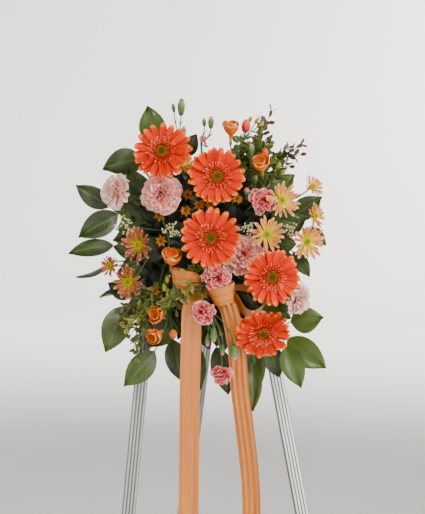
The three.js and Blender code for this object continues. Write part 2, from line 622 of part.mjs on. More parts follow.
// One length of ribbon: a cup and two loops round a knot, and two tails gathered behind it.
function ribbonBow() {
  const { centre, top, bottom, depth } = BOW.cup;
  const around = (turn, r) => vec(r * Math.cos(turn), depth * r * Math.sin(turn), 0);
  const turns = Array.from({ length: 10 }, (_, i) => degrees(160 - 35 * i));
  const cupPath = turns.map((turn) => centre.clone().add(around(turn, (top + bottom) / 2)));
  const flared = (_, i) => vec(0, 0, RIBBON.width).add(around(turns[i], top - bottom)).normalize();
  const knot = [[0, -0.5], [0.6, -0.5], [1, -0.25], [1, 0.25], [0.6, 0.5], [0, 0.5]]
    .map(([r, h]) => [r * KNOT.radius, h * KNOT.height]);
  const facing = (turn) => nearTo(vec(Math.cos(degrees(turn)), Math.sin(degrees(turn)), 0));
  const [front, back] = [BOW.knot.y, BOW.knot.y + KNOT.radius + TAIL_BLOCK];
  const start = (x) => vec(BOW.knot.x + x, back - TAIL_BLOCK / 2, BOW.knot.z - 7);
  return join([
    placed(turned(knot, 7), at(...BOW.knot)),
    ribbon(cupPath, flared),
    rod(BOW.knot, cupPath[0], 5),
    ribbon(BOW.leftLoop.map(seen), nearTo(vec(0.15, -0.8, -0.6))),
    ribbon(BOW.rightLoop.map(seen), nearTo(vec(0.1, -0.8, 0.6))),
    between([BOW.knot.x - 18, back - TAIL_BLOCK, BOW.knot.z - 12], [BOW.knot.x + 20, back, BOW.knot.z + 8]),
    between([BOW.knot.x - 4, front, BOW.knot.z - 8], [BOW.knot.x + 4, back - 1, BOW.knot.z + 6]),
    ribbon([start(-8), ...BOW.leftTail], facing(6), { ridge: 0.8, columns: 4 }),
    ribbon([start(10), ...BOW.rightTail], facing(-12), { ridge: 2.2, columns: 4 }),
  ]);
}

// A wooden pick in the foam, with a flat head that the bow is wired to.
function bowPick() {
  const front = BOW.knot.clone().add(vec(0, KNOT.radius + TAIL_BLOCK + CLEARANCE, 0));
  const matrix = standing(front, looking([0, 0]));
  const stick = stemLoops(vec(0, 0, -4).applyMatrix4(matrix), 2, { across: acrossOf(matrix) });
  return loft([...stick, ...moved([ngon(6, 6, -3), ngon(6, 6, 0)], matrix)]);
}

// Easel, in its front frame's own axes: x across, y backwards, z up the frame, with y = 0 on the
// faces of the front legs and z = 0 level with O

const EASEL_PLACE = at(...EASEL.centre)
  .multiply(new THREE.Matrix4().makeRotationZ(EASEL.turn))
  .multiply(new THREE.Matrix4().makeRotationX(-EASEL.lean));
const legX = (z) => EASEL.halfWidthAtO - EASEL.splay * z;
const LEG_DEPTH = LEG.ribHeight + LEG.flange;
const STRIP_LENGTH = 2 * FLOOR_BELOW_O; // before a leg is cut at the floor

const belowFloor = () => between(
  [-STRIP_LENGTH, -STRIP_LENGTH, -FLOOR_BELOW_O - STRIP_LENGTH], [STRIP_LENGTH, STRIP_LENGTH, -FLOOR_BELOW_O]);

// A pin along y, and one along x.
const pinAlongY = (radius, x, z, y0, y1, sides = 8) =>
  solidOf(new THREE.CylinderGeometry(radius, radius, y1 - y0, sides), at(x, (y0 + y1) / 2, z));
const pinAlongX = (radius, length, place) =>
  solidOf(new THREE.CylinderGeometry(radius, radius, length, 10).rotateZ(Math.PI / 2), place);

// A leg strip that stands on the origin: a channel with ribs on its face, which looks along -y.
function legStrip(length) {
  const half = LEG.width / 2;
  const pitch = LEG.width / LEG.ribs;
  const face = [];
  for (let rib = 0; rib < LEG.ribs; rib++) {
    const middle = -half + (rib + 0.5) * pitch;
    for (const [share, depth] of [[-0.5, LEG.ribHeight], [-0.2, 0], [0.2, 0], [0.5, LEG.ribHeight]])
      face.push([middle + share * LEG.ribWidth, depth]);
  }
  const [web, edge] = [LEG.ribHeight + LEG.sheet, LEG_DEPTH];
  const outline = [
    [-half, edge], [-half, LEG.ribHeight], ...face, [half, LEG.ribHeight], [half, edge],
    [half - LEG.sheet, edge], [half - LEG.sheet, web], [-half + LEG.sheet, web], [-half + LEG.sheet, edge],
  ];
  const section = new THREE.Shape(outline.map(([x, y]) => new THREE.Vector2(x, y)));
  return new THREE.ExtrudeGeometry(section, { depth: length, bevelEnabled: false });
}

function frontLeg(side) {
  const tilt = new THREE.Matrix4().makeRotationY(side * -Math.atan(EASEL.splay));
  const place = at(side * legX(EASEL.legTop), 0, EASEL.legTop).multiply(tilt).multiply(at(0, 0, -STRIP_LENGTH));
  const rivetHoles = [EASEL.topBar, EASEL.hingeBar].map((z) =>
    pinAlongY(RIVET.radius + CLEARANCE, side * legX(z), z, -1, LEG_DEPTH));
  const leg = solidOf(legStrip(STRIP_LENGTH), place).subtract(join(rivetHoles));
  return placed(leg, EASEL_PLACE).subtract(belowFloor());
}

// A flat bar across the faces of both front legs, with the two rivets that hold it there.
function crossBar(z) {
  const half = legX(z);
  const reach = half + BAR.overhang;
  const [front, back] = [-CLEARANCE - BAR.thickness, -CLEARANCE];
  const behindWeb = LEG.ribHeight + LEG.sheet + CLEARANCE;
  const solids = [between([-reach, front, z - BAR.height / 2], [reach, back, z + BAR.height / 2])];
  for (const x of [-half, half])
    solids.push(
      pinAlongY(RIVET.radius, x, z, back - 1, behindWeb + 0.5),
      pinAlongY(RIVET.headRadius, x, z, behindWeb, behindWeb + RIVET.headHeight),
      pinAlongY(RIVET.headRadius, x, z, front - RIVET.headHeight, front + 0.5),
    );
  return join(solids);
}

// The open back leg rests with the top edges of its flanges against the bar that carries it.
const BACK_TURN = EASEL.lean + EASEL.backLean;
const WEB_TO_PIN = LEG.ribHeight + LEG.sheet + HINGE.pinRadius + 2 * CLEARANCE;
const PIN_Y = Math.cos(BACK_TURN) * (LEG_DEPTH - WEB_TO_PIN) + Math.sin(BACK_TURN) * HINGE.legAbovePin;
const EAR_X = LEG.width / 2 + CLEARANCE + HINGE.ear / 2;
const PIN_PLACE = at(0, PIN_Y, EASEL.hingeBar);

function hingeBar() {
  const ears = [-EAR_X, EAR_X].map((x) => between(
    [x - HINGE.ear / 2, -CLEARANCE - 1, EASEL.hingeBar - HINGE.earHeight / 2],
    [x + HINGE.ear / 2, PIN_Y + HINGE.pinRadius + 4, EASEL.hingeBar + HINGE.earHeight / 2]));
  const bore = pinAlongX(HINGE.pinRadius + CLEARANCE, 2 * EAR_X + 10, PIN_PLACE);
  return join([crossBar(EASEL.hingeBar), ...ears]).subtract(bore);
}

function hingePin() {
  const length = 2 * EAR_X + HINGE.ear + 2 * CLEARANCE;
  const heads = [-1, 1].map((side) => pinAlongX(HINGE.pinHead, HINGE.headHeight,
    at(side * (length + HINGE.headHeight) / 2, PIN_Y, EASEL.hingeBar)));
  return join([pinAlongX(HINGE.pinRadius, length + 1, PIN_PLACE), ...heads]);
}

function backLeg() {
  const hung = PIN_PLACE.clone()
    .multiply(new THREE.Matrix4().makeRotationX(BACK_TURN))
    .multiply(at(0, WEB_TO_PIN, HINGE.legAbovePin - STRIP_LENGTH))
    .multiply(new THREE.Matrix4().makeRotationZ(Math.PI));
  // The strip is turned about its own foot, so its ribs look backwards.
  const bore = pinAlongX(HINGE.pinRadius + CLEARANCE, LEG.width + 10, PIN_PLACE);
  return placed(solidOf(legStrip(STRIP_LENGTH), hung).subtract(bore), EASEL_PLACE).subtract(belowFloor());
}

// Foam and cage, in the easel's axes

const TRAY_BACK = -2 * CLEARANCE - BAR.thickness; // the tray's back lies on the two bars
const FOAM_BACK = TRAY_BACK - CAGE.wall - CLEARANCE;
const FOAM_LOW = [-FOAM.width / 2, FOAM_BACK - FOAM.depth, FOAM.centre - FOAM.height / 2];
const FOAM_HIGH = [FOAM.width / 2, FOAM_BACK, FOAM.centre + FOAM.height / 2];

// The foam's box, larger by `grow` all round.
const foamBox = (grow) => between(FOAM_LOW.map((v) => v - grow), FOAM_HIGH.map((v) => v + grow));

const foamBlock = () => placed(foamBox(0), EASEL_PLACE).subtract(join(holes));

// A tray behind the foam and a grid of bars round its front, with a hook over the upper bar and a
// tab down the front of the lower one.
function foamCage() {
  const shell = foamBox(CLEARANCE + CAGE.wall).subtract(foamBox(CLEARANCE));
  const [low, high] = [FOAM_LOW.map((v) => v - 10), FOAM_HIGH.map((v) => v + 10)];
  const slabs = [between([low[0], FOAM_BACK - CAGE.rim, low[2]], high)];
  for (let i = 1; i <= CAGE.columns; i++) {
    const x = -FOAM.width / 2 + (i / (CAGE.columns + 1)) * FOAM.width;
    slabs.push(between([x - CAGE.bar / 2, low[1], low[2]], [x + CAGE.bar / 2, high[1], high[2]]));
  }
  for (let i = 0; i < CAGE.rows; i++) {
    const z = FOAM_LOW[2] + ((i + 0.5) / CAGE.rows) * FOAM.height;
    slabs.push(between([low[0], low[1], z - CAGE.bar / 2], [high[0], high[1], z + CAGE.bar / 2]));
  }
  const half = CAGE.tab / 2;
  const [front, hook] = [TRAY_BACK - CAGE.wall, EASEL.topBar + BAR.height / 2 + CLEARANCE];
  const tabs = [
    between([-half, front, FOAM.centre], [half, TRAY_BACK, hook + CAGE.wall]),
    between([-half, front, hook], [half, CAGE.wall, hook + CAGE.wall]),
    between([-half, 0, EASEL.topBar - BAR.height / 2], [half, CAGE.wall, hook + CAGE.wall]),
    between([-half, front, CAGE.tabEnd], [half, TRAY_BACK, FOAM.centre]),
  ];
  const tieHole = pinAlongY(TIE.hole, TIE.x, TIE.holeHeight, front - 5, TRAY_BACK + 5, 8);
  const cage = join([shell.intersect(join(slabs)), ...tabs]).subtract(tieHole);
  return largest(placed(cage, EASEL_PLACE).subtract(join(holes)));
}

// A wire round the lower bar and through the hole in the tab, with its two ends twisted together.
function tieWire() {
  const front = TRAY_BACK - CAGE.wall - CLEARANCE;
  const low = CAGE.tabEnd - CLEARANCE;
  const high = TIE.holeHeight - TIE.radius;
  const inside = (x) => between([TIE.x - x, front, low], [TIE.x + x, 0, high]);
  const round = between(
    [TIE.x - TIE.radius, front - 2 * TIE.radius, low - 2 * TIE.radius],
    [TIE.x + TIE.radius, 2 * TIE.radius, high + 2 * TIE.radius]);
  const twist = [[0, 0.3, -8], [7, -9, -14]].map(([x, y, z]) => vec(TIE.x + x, front - TIE.radius + y, high + z));
  return placed(round.subtract(inside(2 * TIE.radius)).add(rod(...twist, TIE.radius * 1.5)), EASEL_PLACE);
}

// Assembly

const COLOURS = {
  gerbera: 0xf0562a, stem: 0x6d8a4a, carnation: 0xf2b8b4, mini: 0xdd8088, mum: 0xe09a6a, button: 0xc9743a,
  freesia: 0xf29a2e, box: 0x6f8440, berry: 0xe9e4cf, salal: 0x2f4a24, ribbon: 0xdf9355, steel: 0xd9dbdc,
  foam: 0x3d5b3a, plastic: 0x2f4a35, wood: 0xb99a6b,
};
const STEEL = { roughness: 0.35, metalness: 0.8 };

const group = new THREE.Group();

function add(name, colour, solid, { roughness = 0.6, metalness = 0 } = {}) {
  const { vertProperties, triVerts } = solid.getMesh();
  const geometry = new THREE.BufferGeometry()
    .setAttribute("position", new THREE.BufferAttribute(vertProperties, 3))
    .setIndex(new THREE.BufferAttribute(triVerts, 1));
  const material = new THREE.MeshStandardMaterial({ color: COLOURS[colour], roughness, metalness });
  const mesh = new THREE.Mesh(geometry, material);
  mesh.name = name;
  group.add(mesh);
}

// A big head on its own stem, whose calyx ends just under the head.
function addBloom(name, i, { place, face }, radius, calyx, stemRadius) {
  const [point, direction] = [seen(place), looking(face)];
  add(`${name}_${i + 1}`, name, loft(moved(HEADS[name](radius), standing(point, direction, i))));
  const matrix = standing(point, direction);
  const end = vec(0, 0, calyx[0][1] - 2).applyMatrix4(matrix);
  const bend = end.clone().addScaledVector(direction, -0.14 * end.distanceTo(FOCUS));
  const stem = stemLoops(end, stemRadius, { across: acrossOf(matrix), bend });
  const green = calyx.map(([r, z]) => ngon(6, r, z));
  add(`${name}_stem_${i + 1}`, "stem", loft([...stem, ...moved(green, matrix)]));
}

const GERBERA_FOOT = -6 - CLEARANCE;
const GERBERA_CALYX = [[4, -17], [12, GERBERA_FOOT - 1], [11, GERBERA_FOOT]];
GERBERAS.forEach((row, i) => addBloom("gerbera", i, row, GERBERA, GERBERA_CALYX, 3));
const CARNATION_FOOT = -5 - CLEARANCE;
const CARNATION_CALYX = [[5, -30], [8, -20], [7.5, CARNATION_FOOT]];
CARNATIONS.forEach((row, i) => addBloom("carnation", i, row, CARNATION, CARNATION_CALYX, 2.2));
MINI_SPRAYS.forEach((row, i) => add(`mini_carnation_spray_${i + 1}`, "mini", spray(row)));
MUM_SPRAYS.forEach((row, i) => add(`daisy_mum_spray_${i + 1}`, "mum", spray(row)));
BUTTON_SPRAYS.forEach((row, i) => add(`button_mum_spray_${i + 1}`, "button", spray(row)));
FREESIAS.forEach((row, i) => add(`freesia_${i + 1}`, "freesia", spray(row)));
LEAFY_STEMS.forEach((row, i) => add(`boxwood_${i + 1}`, "box", leafyStem(row)));
BERRY_BUNCHES.forEach((row, i) => add(`white_berries_${i + 1}`, "berry", berries(row)));
LEAF_BRANCHES.forEach((row, i) => add(`salal_branch_${i + 1}`, "salal", leafBranch(row), { roughness: 0.35 }));
add("ribbon_bow", "ribbon", ribbonBow(), { roughness: 0.4 });
add("bow_pick", "wood", bowPick());
add("foam_block", "foam", foamBlock(), { roughness: 0.95 });
add("foam_cage", "plastic", foamCage());
add("cage_tie_wire", "steel", tieWire(), STEEL);
add("easel_leg_left", "steel", frontLeg(-1), STEEL);
add("easel_leg_right", "steel", frontLeg(1), STEEL);
add("easel_leg_back", "steel", backLeg(), STEEL);
add("easel_top_bar", "steel", placed(crossBar(EASEL.topBar), EASEL_PLACE), STEEL);
add("easel_hinge_bar", "steel", placed(hingeBar(), EASEL_PLACE), STEEL);
add("easel_hinge_pin", "steel", placed(hingePin(), EASEL_PLACE), STEEL);

// The origin is on the floor, under the middle of the whole.
const middle = new THREE.Box3().setFromObject(group).getCenter(vec(0, 0, 0));
group.position.set(-middle.x, -middle.y, FLOOR_BELOW_O);

export default group;
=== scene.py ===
"""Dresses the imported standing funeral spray: cut flowers, foliage and a satin bow in caged foam, on a
folding steel easel. Shapes are made in millimetres round the point O that the flowers are laid out
round, and set in the row frame, in metres, when they become objects."""

import logging
import random
from dataclasses import dataclass, replace
from enum import Enum
from functools import partial
from math import cos, pi, radians, sin, sqrt
from typing import Any, Callable, Iterable, Sequence

import bpy
import numpy as np
from bpy.types import Material, Mesh, Node, NodeTree, Object
from mathutils import Matrix, Vector

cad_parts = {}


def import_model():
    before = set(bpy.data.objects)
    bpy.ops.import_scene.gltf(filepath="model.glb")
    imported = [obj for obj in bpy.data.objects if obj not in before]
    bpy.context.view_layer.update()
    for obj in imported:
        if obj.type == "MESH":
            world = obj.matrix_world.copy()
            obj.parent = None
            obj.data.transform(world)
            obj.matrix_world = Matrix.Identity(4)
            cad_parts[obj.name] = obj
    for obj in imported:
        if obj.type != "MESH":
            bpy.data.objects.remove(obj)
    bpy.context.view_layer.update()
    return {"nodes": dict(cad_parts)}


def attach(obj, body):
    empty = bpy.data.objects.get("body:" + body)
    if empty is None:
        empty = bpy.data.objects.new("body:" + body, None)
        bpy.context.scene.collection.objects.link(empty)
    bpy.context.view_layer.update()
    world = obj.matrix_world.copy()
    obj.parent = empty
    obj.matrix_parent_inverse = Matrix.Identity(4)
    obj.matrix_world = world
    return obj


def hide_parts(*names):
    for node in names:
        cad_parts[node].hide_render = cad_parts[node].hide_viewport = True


LOG = logging.getLogger("spray")
MM = 0.001
SPRAY = "frame_and_spray"  # the body that everything but the back leg belongs to
PLACE_OF_O = Vector((-32.80, -263.77, 1080.0))  # mm, in the row frame
VIEW_DISTANCE = 2600.0
VIEW_RISE = radians(4.0)
FOCUS = Vector((16.0, 150.0, -2.0))  # the point in the foam that every stem aims at
STEM_IN_FOAM = 27.0
BEYOND_CAGE = 6.0
FOAM_LOW, FOAM_HIGH = (-55.0, -85.05, -125.0), (55.0, -5.05, 105.0)  # in the easel's axes
EASEL_PLACE = (Matrix.Translation((7.5, 185.0, 0.0)) @ Matrix.Rotation(radians(13), 4, "Z")
               @ Matrix.Rotation(radians(-12), 4, "X"))
SHARP = radians(48)
TO_VIEWER = Vector((0.0, -cos(VIEW_RISE), sin(VIEW_RISE)))
GOLDEN = radians(137.5)  # the turn from one floret or leaf of a packed spiral to the next
Place = tuple[float, float, float]
Adder = Callable[..., Node]  # add_node with its tree already given
POINT_VALUES = ("along", "across", "shade")  # what each point of a shape carries
MATH, MIX, RANGE = "ShaderNodeMath", "ShaderNodeMix", "ShaderNodeMapRange"
NOISE, MAPPING, BUMP = "ShaderNodeTexNoise", "ShaderNodeMapping", "ShaderNodeBump"
VALUE, COORDS, SHADER = "ShaderNodeAttribute", "ShaderNodeTexCoord", "ShaderNodeBsdfPrincipled"
TO_XYZ, FROM_XYZ, INDEX = "ShaderNodeCombineXYZ", "ShaderNodeSeparateXYZ", "GeometryNodeInputIndex"
RGBA, MULTIPLY = {"data_type": "RGBA"}, {"operation": "MULTIPLY"}
MULTIPLY_ADD = {"operation": "MULTIPLY_ADD"}
SOCKETS = {"Geometry": "NodeSocketGeometry", "Parts": "NodeSocketCollection", "Count": "NodeSocketInt",
           "Seed": "NodeSocketInt", "Finish": "NodeSocketMaterial"}  # the inputs that aren't plain numbers


def seen(place: Sequence[float]) -> Vector:
    """The point that the viewer sees to the right of O and above it, some way in front of O's plane.

    Args:
        place: millimetres to the right, up, and towards the viewer.

    Returns:
        The point relative to O, in mm.
    """
    x, z, forward = place
    up = Vector((0.0, sin(VIEW_RISE), cos(VIEW_RISE)))
    eye = TO_VIEWER * VIEW_DISTANCE
    return (Vector((x, 0.0, 0.0)) + up * z - eye) * (1 - forward / VIEW_DISTANCE) + eye


def looking(face: Sequence[float]) -> Vector:
    """The unit vector that looks a face's yaw degrees to the right of the front and its pitch degrees up."""
    yaw, pitch = (radians(v) for v in face)
    return Vector((sin(yaw) * cos(pitch), -cos(yaw) * cos(pitch), sin(pitch)))


def standing(place: Vector, direction: Vector, roll: float = 0.0) -> Matrix:
    """The placement that sets a shape's own +Z along a direction.

    Args:
        place: where the shape's own origin goes.
        direction: where its +Z points.
        roll: its turn about that direction, in radians.

    Returns:
        The placement.
    """
    z = direction.normalized()
    level = Vector((0, 1, 0)) if abs(z.z) > 0.95 else Vector((0, 0, 1))
    x = level.cross(z).normalized()
    basis = Matrix((x, z.cross(x), z)).transposed().to_4x4()
    return Matrix.Translation(place) @ basis @ Matrix.Rotation(roll, 4, "Z")


def bent(start: Vector, by: Vector, end: Vector, count: int) -> list[Vector]:
    """Points, its ends among them, on the curve that one point draws between two others."""
    shares = [i / (count - 1) for i in range(count)]
    return [start * (1 - t) ** 2 + by * (2 * t * (1 - t)) + end * t * t for t in shares]


def smooth(points: Sequence[Vector], steps: int) -> list[Vector]:
    """A smooth curve through points.

    Args:
        points: the points that it goes through.
        steps: how many parts each stretch is cut into.

    Returns:
        The curve's points.
    """
    ends = [points[0] * 2 - points[1], *points, points[-1] * 2 - points[-2]]
    curve = []
    for a, b, c, d in zip(ends, ends[1:], ends[2:], ends[3:]):
        for k in range(steps):
            t = k / steps
            curve.append((b * 2 + (c - a) * t + (a * 2 - b * 5 + c * 4 - d) * t * t
                          + (b * 3 - a - c * 3 + d) * t ** 3) * 0.5)
    return [*curve, points[-1].copy()]


def way_out(target: Vector) -> tuple[Vector, Vector]:
    """Where a stem that aims at a target starts in the foam, and where it is clear of the cage.

    Args:
        target: what the stem aims at, relative to O.

    Returns:
        Both points.
    """
    direction = target - FOCUS
    distance = direction.length
    direction.normalize()
    back = EASEL_PLACE.inverted()
    start, ray = back @ FOCUS, back.to_3x3() @ direction
    edge = min(((high if r > 0 else low) - s) / r
               for s, r, low, high in zip(start, ray, FOAM_LOW, FOAM_HIGH) if abs(r) > 1e-6)
    return FOCUS + direction * STEM_IN_FOAM, FOCUS + direction * min(edge + BEYOND_CAGE, 0.9 * distance)


def colour(code: str) -> tuple[float, float, float, float]:
    """An sRGB value of six hex digits as a linear colour, with its alpha."""
    parts = [int(code[i:i + 2], 16) / 255 for i in (0, 2, 4)]
    return (*[p / 12.92 if p <= 0.04045 else ((p + 0.055) / 1.055) ** 2.4 for p in parts], 1.0)


def add_node(tree: NodeTree, kind: str, settings: dict | None = None, links: dict | None = None) -> Node:
    """Adds a node with its settings and links.

    Args:
        tree: the tree that it goes into.
        kind: the node's type.
        settings: values of its inputs, by name or number, and of its own properties.
        links: what feeds its inputs, by the input's name or number: an output, or a node's first one.

    Returns:
        The node.
    """
    made = tree.nodes.new(kind)
    values = dict(settings or {})
    for key in [k for k in values if isinstance(k, str) and k not in made.inputs]:
        setattr(made, key, values.pop(key))
    for key, value in values.items():
        made.inputs[key].default_value = value
    for key, source in (links or {}).items():
        tree.links.new(source.outputs[0] if isinstance(source, Node) else source, made.inputs[key])
    return made


@dataclass(frozen=True)
class Petal:
    """A petal's finish: thin and soft, with a gradient from base to tip and fine lengthwise streaks.

    The stops are pairs of a share of the length and an sRGB colour, and the edge is its margin's.
    """

    stops: tuple[tuple[float, str], ...]
    streak: str
    edge: str | None = None
    edge_from: float = 0.84
    edge_start: float = 0.35  # the share of the length from which the margin starts to show
    by_shade: bool = False  # the stops run by the shade instead of the length
    streaks: float = 26.0
    strength: float = 0.35
    roughness: float = 0.52
    glow: float = 0.12
    spread: float = 0.16
    gloss: float = 0.15

    def dress(self, add: Adder) -> None:
        """Builds the material's nodes.

        Args:
            add: what adds them.
        """
        run, side, shade = (add(VALUE, {"attribute_name": name}).outputs["Fac"] for name in POINT_VALUES)
        ramp = add("ShaderNodeValToRGB", links={"Fac": shade if self.by_shade else run})
        for i, (share, code) in enumerate(self.stops):
            stop = ramp.color_ramp.elements[i] if i < 2 else ramp.color_ramp.elements.new(share)
            stop.position, stop.color = share, colour(code)
        flat = add(TO_XYZ, links={"X": run, "Y": side, "Z": shade})
        drawn = add(MAPPING, {"Scale": (2.0, self.streaks / 4, 40.0)}, {"Vector": flat})
        noise = add(NOISE, {"Scale": 1.0, "Detail": 3.0}, {"Vector": drawn})
        fine = add(RANGE, {1: 0.42, 2: 0.68, 3: 0.0, 4: self.strength}, {0: noise})
        mixed = add(MIX, {**RGBA, 7: colour(self.streak)}, {0: fine, 6: ramp}).outputs[2]
        if self.edge:
            size = add(MATH, {"operation": "ABSOLUTE"}, {0: side})
            late = add(RANGE, {1: self.edge_start, 2: self.edge_start + 0.4}, {0: run})
            near = add(MATH, MULTIPLY, {0: size, 1: late})
            ends = add(MATH, {"operation": "MAXIMUM"}, {0: near, 1: run})
            rim = add(RANGE, {1: self.edge_from, 2: 1.0}, {0: ends})
            mixed = add(MIX, {**RGBA, 7: colour(self.edge)}, {0: rim, 6: mixed}).outputs[2]
        light = add(RANGE, {3: 1 - self.spread, 4: 1 + self.spread}, {0: shade})
        toned = add("ShaderNodeHueSaturation", links={"Value": light, "Color": mixed})
        bump = add(BUMP, {"Strength": 0.3, "Distance": 0.0006}, {"Height": noise})
        add(SHADER, {
            "Roughness": self.roughness, "Subsurface Weight": self.glow,
            "Subsurface Radius": (0.9, 0.35, 0.2), "Subsurface Scale": 0.002,
            "Specular IOR Level": self.gloss}, {"Base Color": toned, "Normal": bump})


@dataclass(frozen=True)
class Leaf:
    """A leathery leaf's finish: a waxy blade with a pale midrib and side veins."""

    dark: str
    light: str
    vein: str
    margin: str | None = None
    tip: str | None = None
    veins: float = 9.0
    vein_strength: float = 0.55
    roughness: float = 0.36
    coat: float = 0.06
    rib: float = 0.45  # how much of the midrib's own colour shows

    def dress(self, add: Adder) -> None:
        """Builds the material's nodes.

        Args:
            add: what adds them.
        """
        run, side, shade = (add(VALUE, {"attribute_name": name}).outputs["Fac"] for name in POINT_VALUES)
        place = add(COORDS).outputs["Object"]
        cloud = add(NOISE, {"Scale": 38.0, "Detail": 4.0}, {"Vector": place})
        both = add(MATH, {**MULTIPLY_ADD, 1: 0.7}, {0: shade, 2: cloud})
        part = add(RANGE, {1: 0.35, 2: 1.15}, {0: both})
        body = add(MIX, {**RGBA, 6: colour(self.dark), 7: colour(self.light)}, {0: part}).outputs[2]
        wide = add(MATH, {"operation": "ABSOLUTE"}, {0: side})
        rib = add(RANGE, {1: 0.09, 2: 0.02, 3: 0.0, 4: self.rib}, {0: wide})
        slant = add(MATH, {**MULTIPLY_ADD, 1: -0.32}, {0: wide, 2: run})
        turns = add(MATH, {**MULTIPLY, 1: self.veins}, {0: slant})
        saw = add(MATH, {"operation": "PINGPONG", 1: 0.5}, {0: turns})
        thin = add(RANGE, {1: 0.09, 2: 0.0, 3: 0.0, 4: self.vein_strength}, {0: saw})
        lines = add(MATH, {"operation": "MAXIMUM"}, {0: rib, 1: thin})
        mixed = add(MIX, {**RGBA, 7: colour(self.vein)}, {0: lines, 6: body}).outputs[2]
        for code, by, limits in ((self.margin, wide, {1: 0.55, 2: 0.85}),
                                 (self.tip, shade, {1: 0.4, 2: 0.9, 4: 0.85})):
            if code:
                share = add(RANGE, limits, {0: by})
                mixed = add(MIX, {**RGBA, 7: colour(code)}, {0: share, 6: mixed}).outputs[2]
        height = add(MATH, {**MULTIPLY_ADD, 1: -1.0}, {0: lines, 2: cloud})
        bump = add(BUMP, {"Strength": 0.35, "Distance": 0.001}, {"Height": height})
        add(SHADER, {"Roughness": self.roughness, "Coat Weight": self.coat, "Coat Roughness": 0.3,
                     "Specular IOR Level": 0.4}, {"Base Color": mixed, "Normal": bump})


@dataclass(frozen=True)
class Mottled:
    """A finish with grain: two colours mixed by a noise that may be drawn out along one axis."""

    first: str
    second: str
    grain: tuple[float, float, float]  # its repeats to a metre along x, y and z
    roughness: float = 0.6
    metal: float = 0.0
    depth: float = 0.0004
    strength: float = 0.3
    rough_spread: float = 0.08

    def dress(self, add: Adder) -> None:
        """Builds the material's nodes.

        Args:
            add: what adds them.
        """
        place = add(COORDS).outputs["Object"]
        drawn = add(MAPPING, {"Scale": self.grain}, {"Vector": place})
        noise = add(NOISE, {"Scale": 1.0, "Detail": 5.0}, {"Vector": drawn})
        part = add(RANGE, {1: 0.36, 2: 0.66}, {0: noise})
        mixed = add(MIX, {**RGBA, 6: colour(self.first), 7: colour(self.second)}, {0: part})
        limits = {3: self.roughness - self.rough_spread, 4: self.roughness + self.rough_spread}
        rough = add(RANGE, limits, {0: noise})
        bump = add(BUMP, {"Strength": self.strength, "Distance": self.depth}, {"Height": noise})
        add(SHADER, {"Metallic": self.metal},
            {"Base Color": mixed.outputs[2], "Roughness": rough, "Normal": bump})


@dataclass(frozen=True)
class Grooved:
    """Plated strip with ribs rolled along it: bright on them, and darker in the grooves between them, as
    painted shade with a little dirt.
    """

    turn: tuple[float, float, float]  # turns the strip's width to x
    middle: float  # the place of its middle line along x, in metres
    # the ribs' colour, which also carries each strip's painted light and shade
    bright: str
    # the grooves' colour: painted shade, with a little dirt
    groove_dirt_and_shade: str = "6C6D6E"
    pitch: float = 0.00625

    def dress(self, add: Adder) -> None:
        """Builds the material's nodes.

        Args:
            add: what adds them.
        """
        place = add(COORDS).outputs["Object"]
        level = add(MAPPING, {"Rotation": self.turn, "Location": (-self.middle, 0.0, 0.0)}, {"Vector": place})
        width = add(FROM_XYZ, links={0: level})
        apart = add(MATH, {"operation": "PINGPONG", 1: self.pitch / 2}, {0: width})
        rib = add(RANGE, {1: 0.0009, 2: 0.0014}, {0: apart})
        drawn = add(MAPPING, {"Scale": (900.0, 900.0, 8.0)}, {"Vector": level})
        noise = add(NOISE, {"Scale": 1.0, "Detail": 3.0}, {"Vector": drawn})
        worn = add(MATH, {**MULTIPLY_ADD, 1: 0.12, 2: -0.06}, {0: noise})
        part = add(MATH, {"operation": "ADD", "use_clamp": True}, {0: rib, 1: worn})
        # the darker colour goes in the grooves as painted shade with a little dirt, and the bright one on the
        # ribs
        mixed = add(MIX, {**RGBA, 6: colour(self.groove_dirt_and_shade), 7: colour(self.bright)}, {0: part})
        rough = add(RANGE, {3: 0.5, 4: 0.3}, {0: part})
        add(SHADER, {"Metallic": 0.85}, {"Base Color": mixed.outputs[2], "Roughness": rough})


@dataclass(frozen=True)
class Satin:
    """Satin ribbon: a smooth warp face with a sheen, and fine ribs of weft across it."""

    body: str
    deep: str
    weft: float = 900.0  # threads to a metre of its length, drawn coarser than the real 3,000
    bands: float = 9.0  # faint lengthwise bands in its width

    def dress(self, add: Adder) -> None:
        """Builds the material's nodes.

        Args:
            add: what adds them.
        """
        run, side = (add(VALUE, {"attribute_name": name}).outputs["Fac"] for name in POINT_VALUES[:2])
        threads = add(MATH, {**MULTIPLY, 1: self.weft}, {0: run})
        weave = add(MATH, {"operation": "PINGPONG", 1: 1.0}, {0: threads})
        flat = add(TO_XYZ, links={"X": run, "Y": side})
        drawn = add(MAPPING, {"Scale": (3.0, self.bands / 4, 1.0)}, {"Vector": flat})
        noise = add(NOISE, {"Scale": 1.0, "Detail": 4.0}, {"Vector": drawn})
        part = add(RANGE, {1: 0.38, 2: 0.66}, {0: noise})
        mixed = add(MIX, {**RGBA, 6: colour(self.deep), 7: colour(self.body)}, {0: part})
        bump = add(BUMP, {"Strength": 0.12, "Distance": 0.0002}, {"Height": weave})
        add(SHADER, {"Roughness": 0.34, "Specular IOR Level": 0.6, "Anisotropic": 0.4, "Sheen Weight": 0.04,
                     "Sheen Roughness": 0.35, "Coat Weight": 0.16, "Coat Roughness": 0.2},
            {"Base Color": mixed.outputs[2], "Normal": bump})


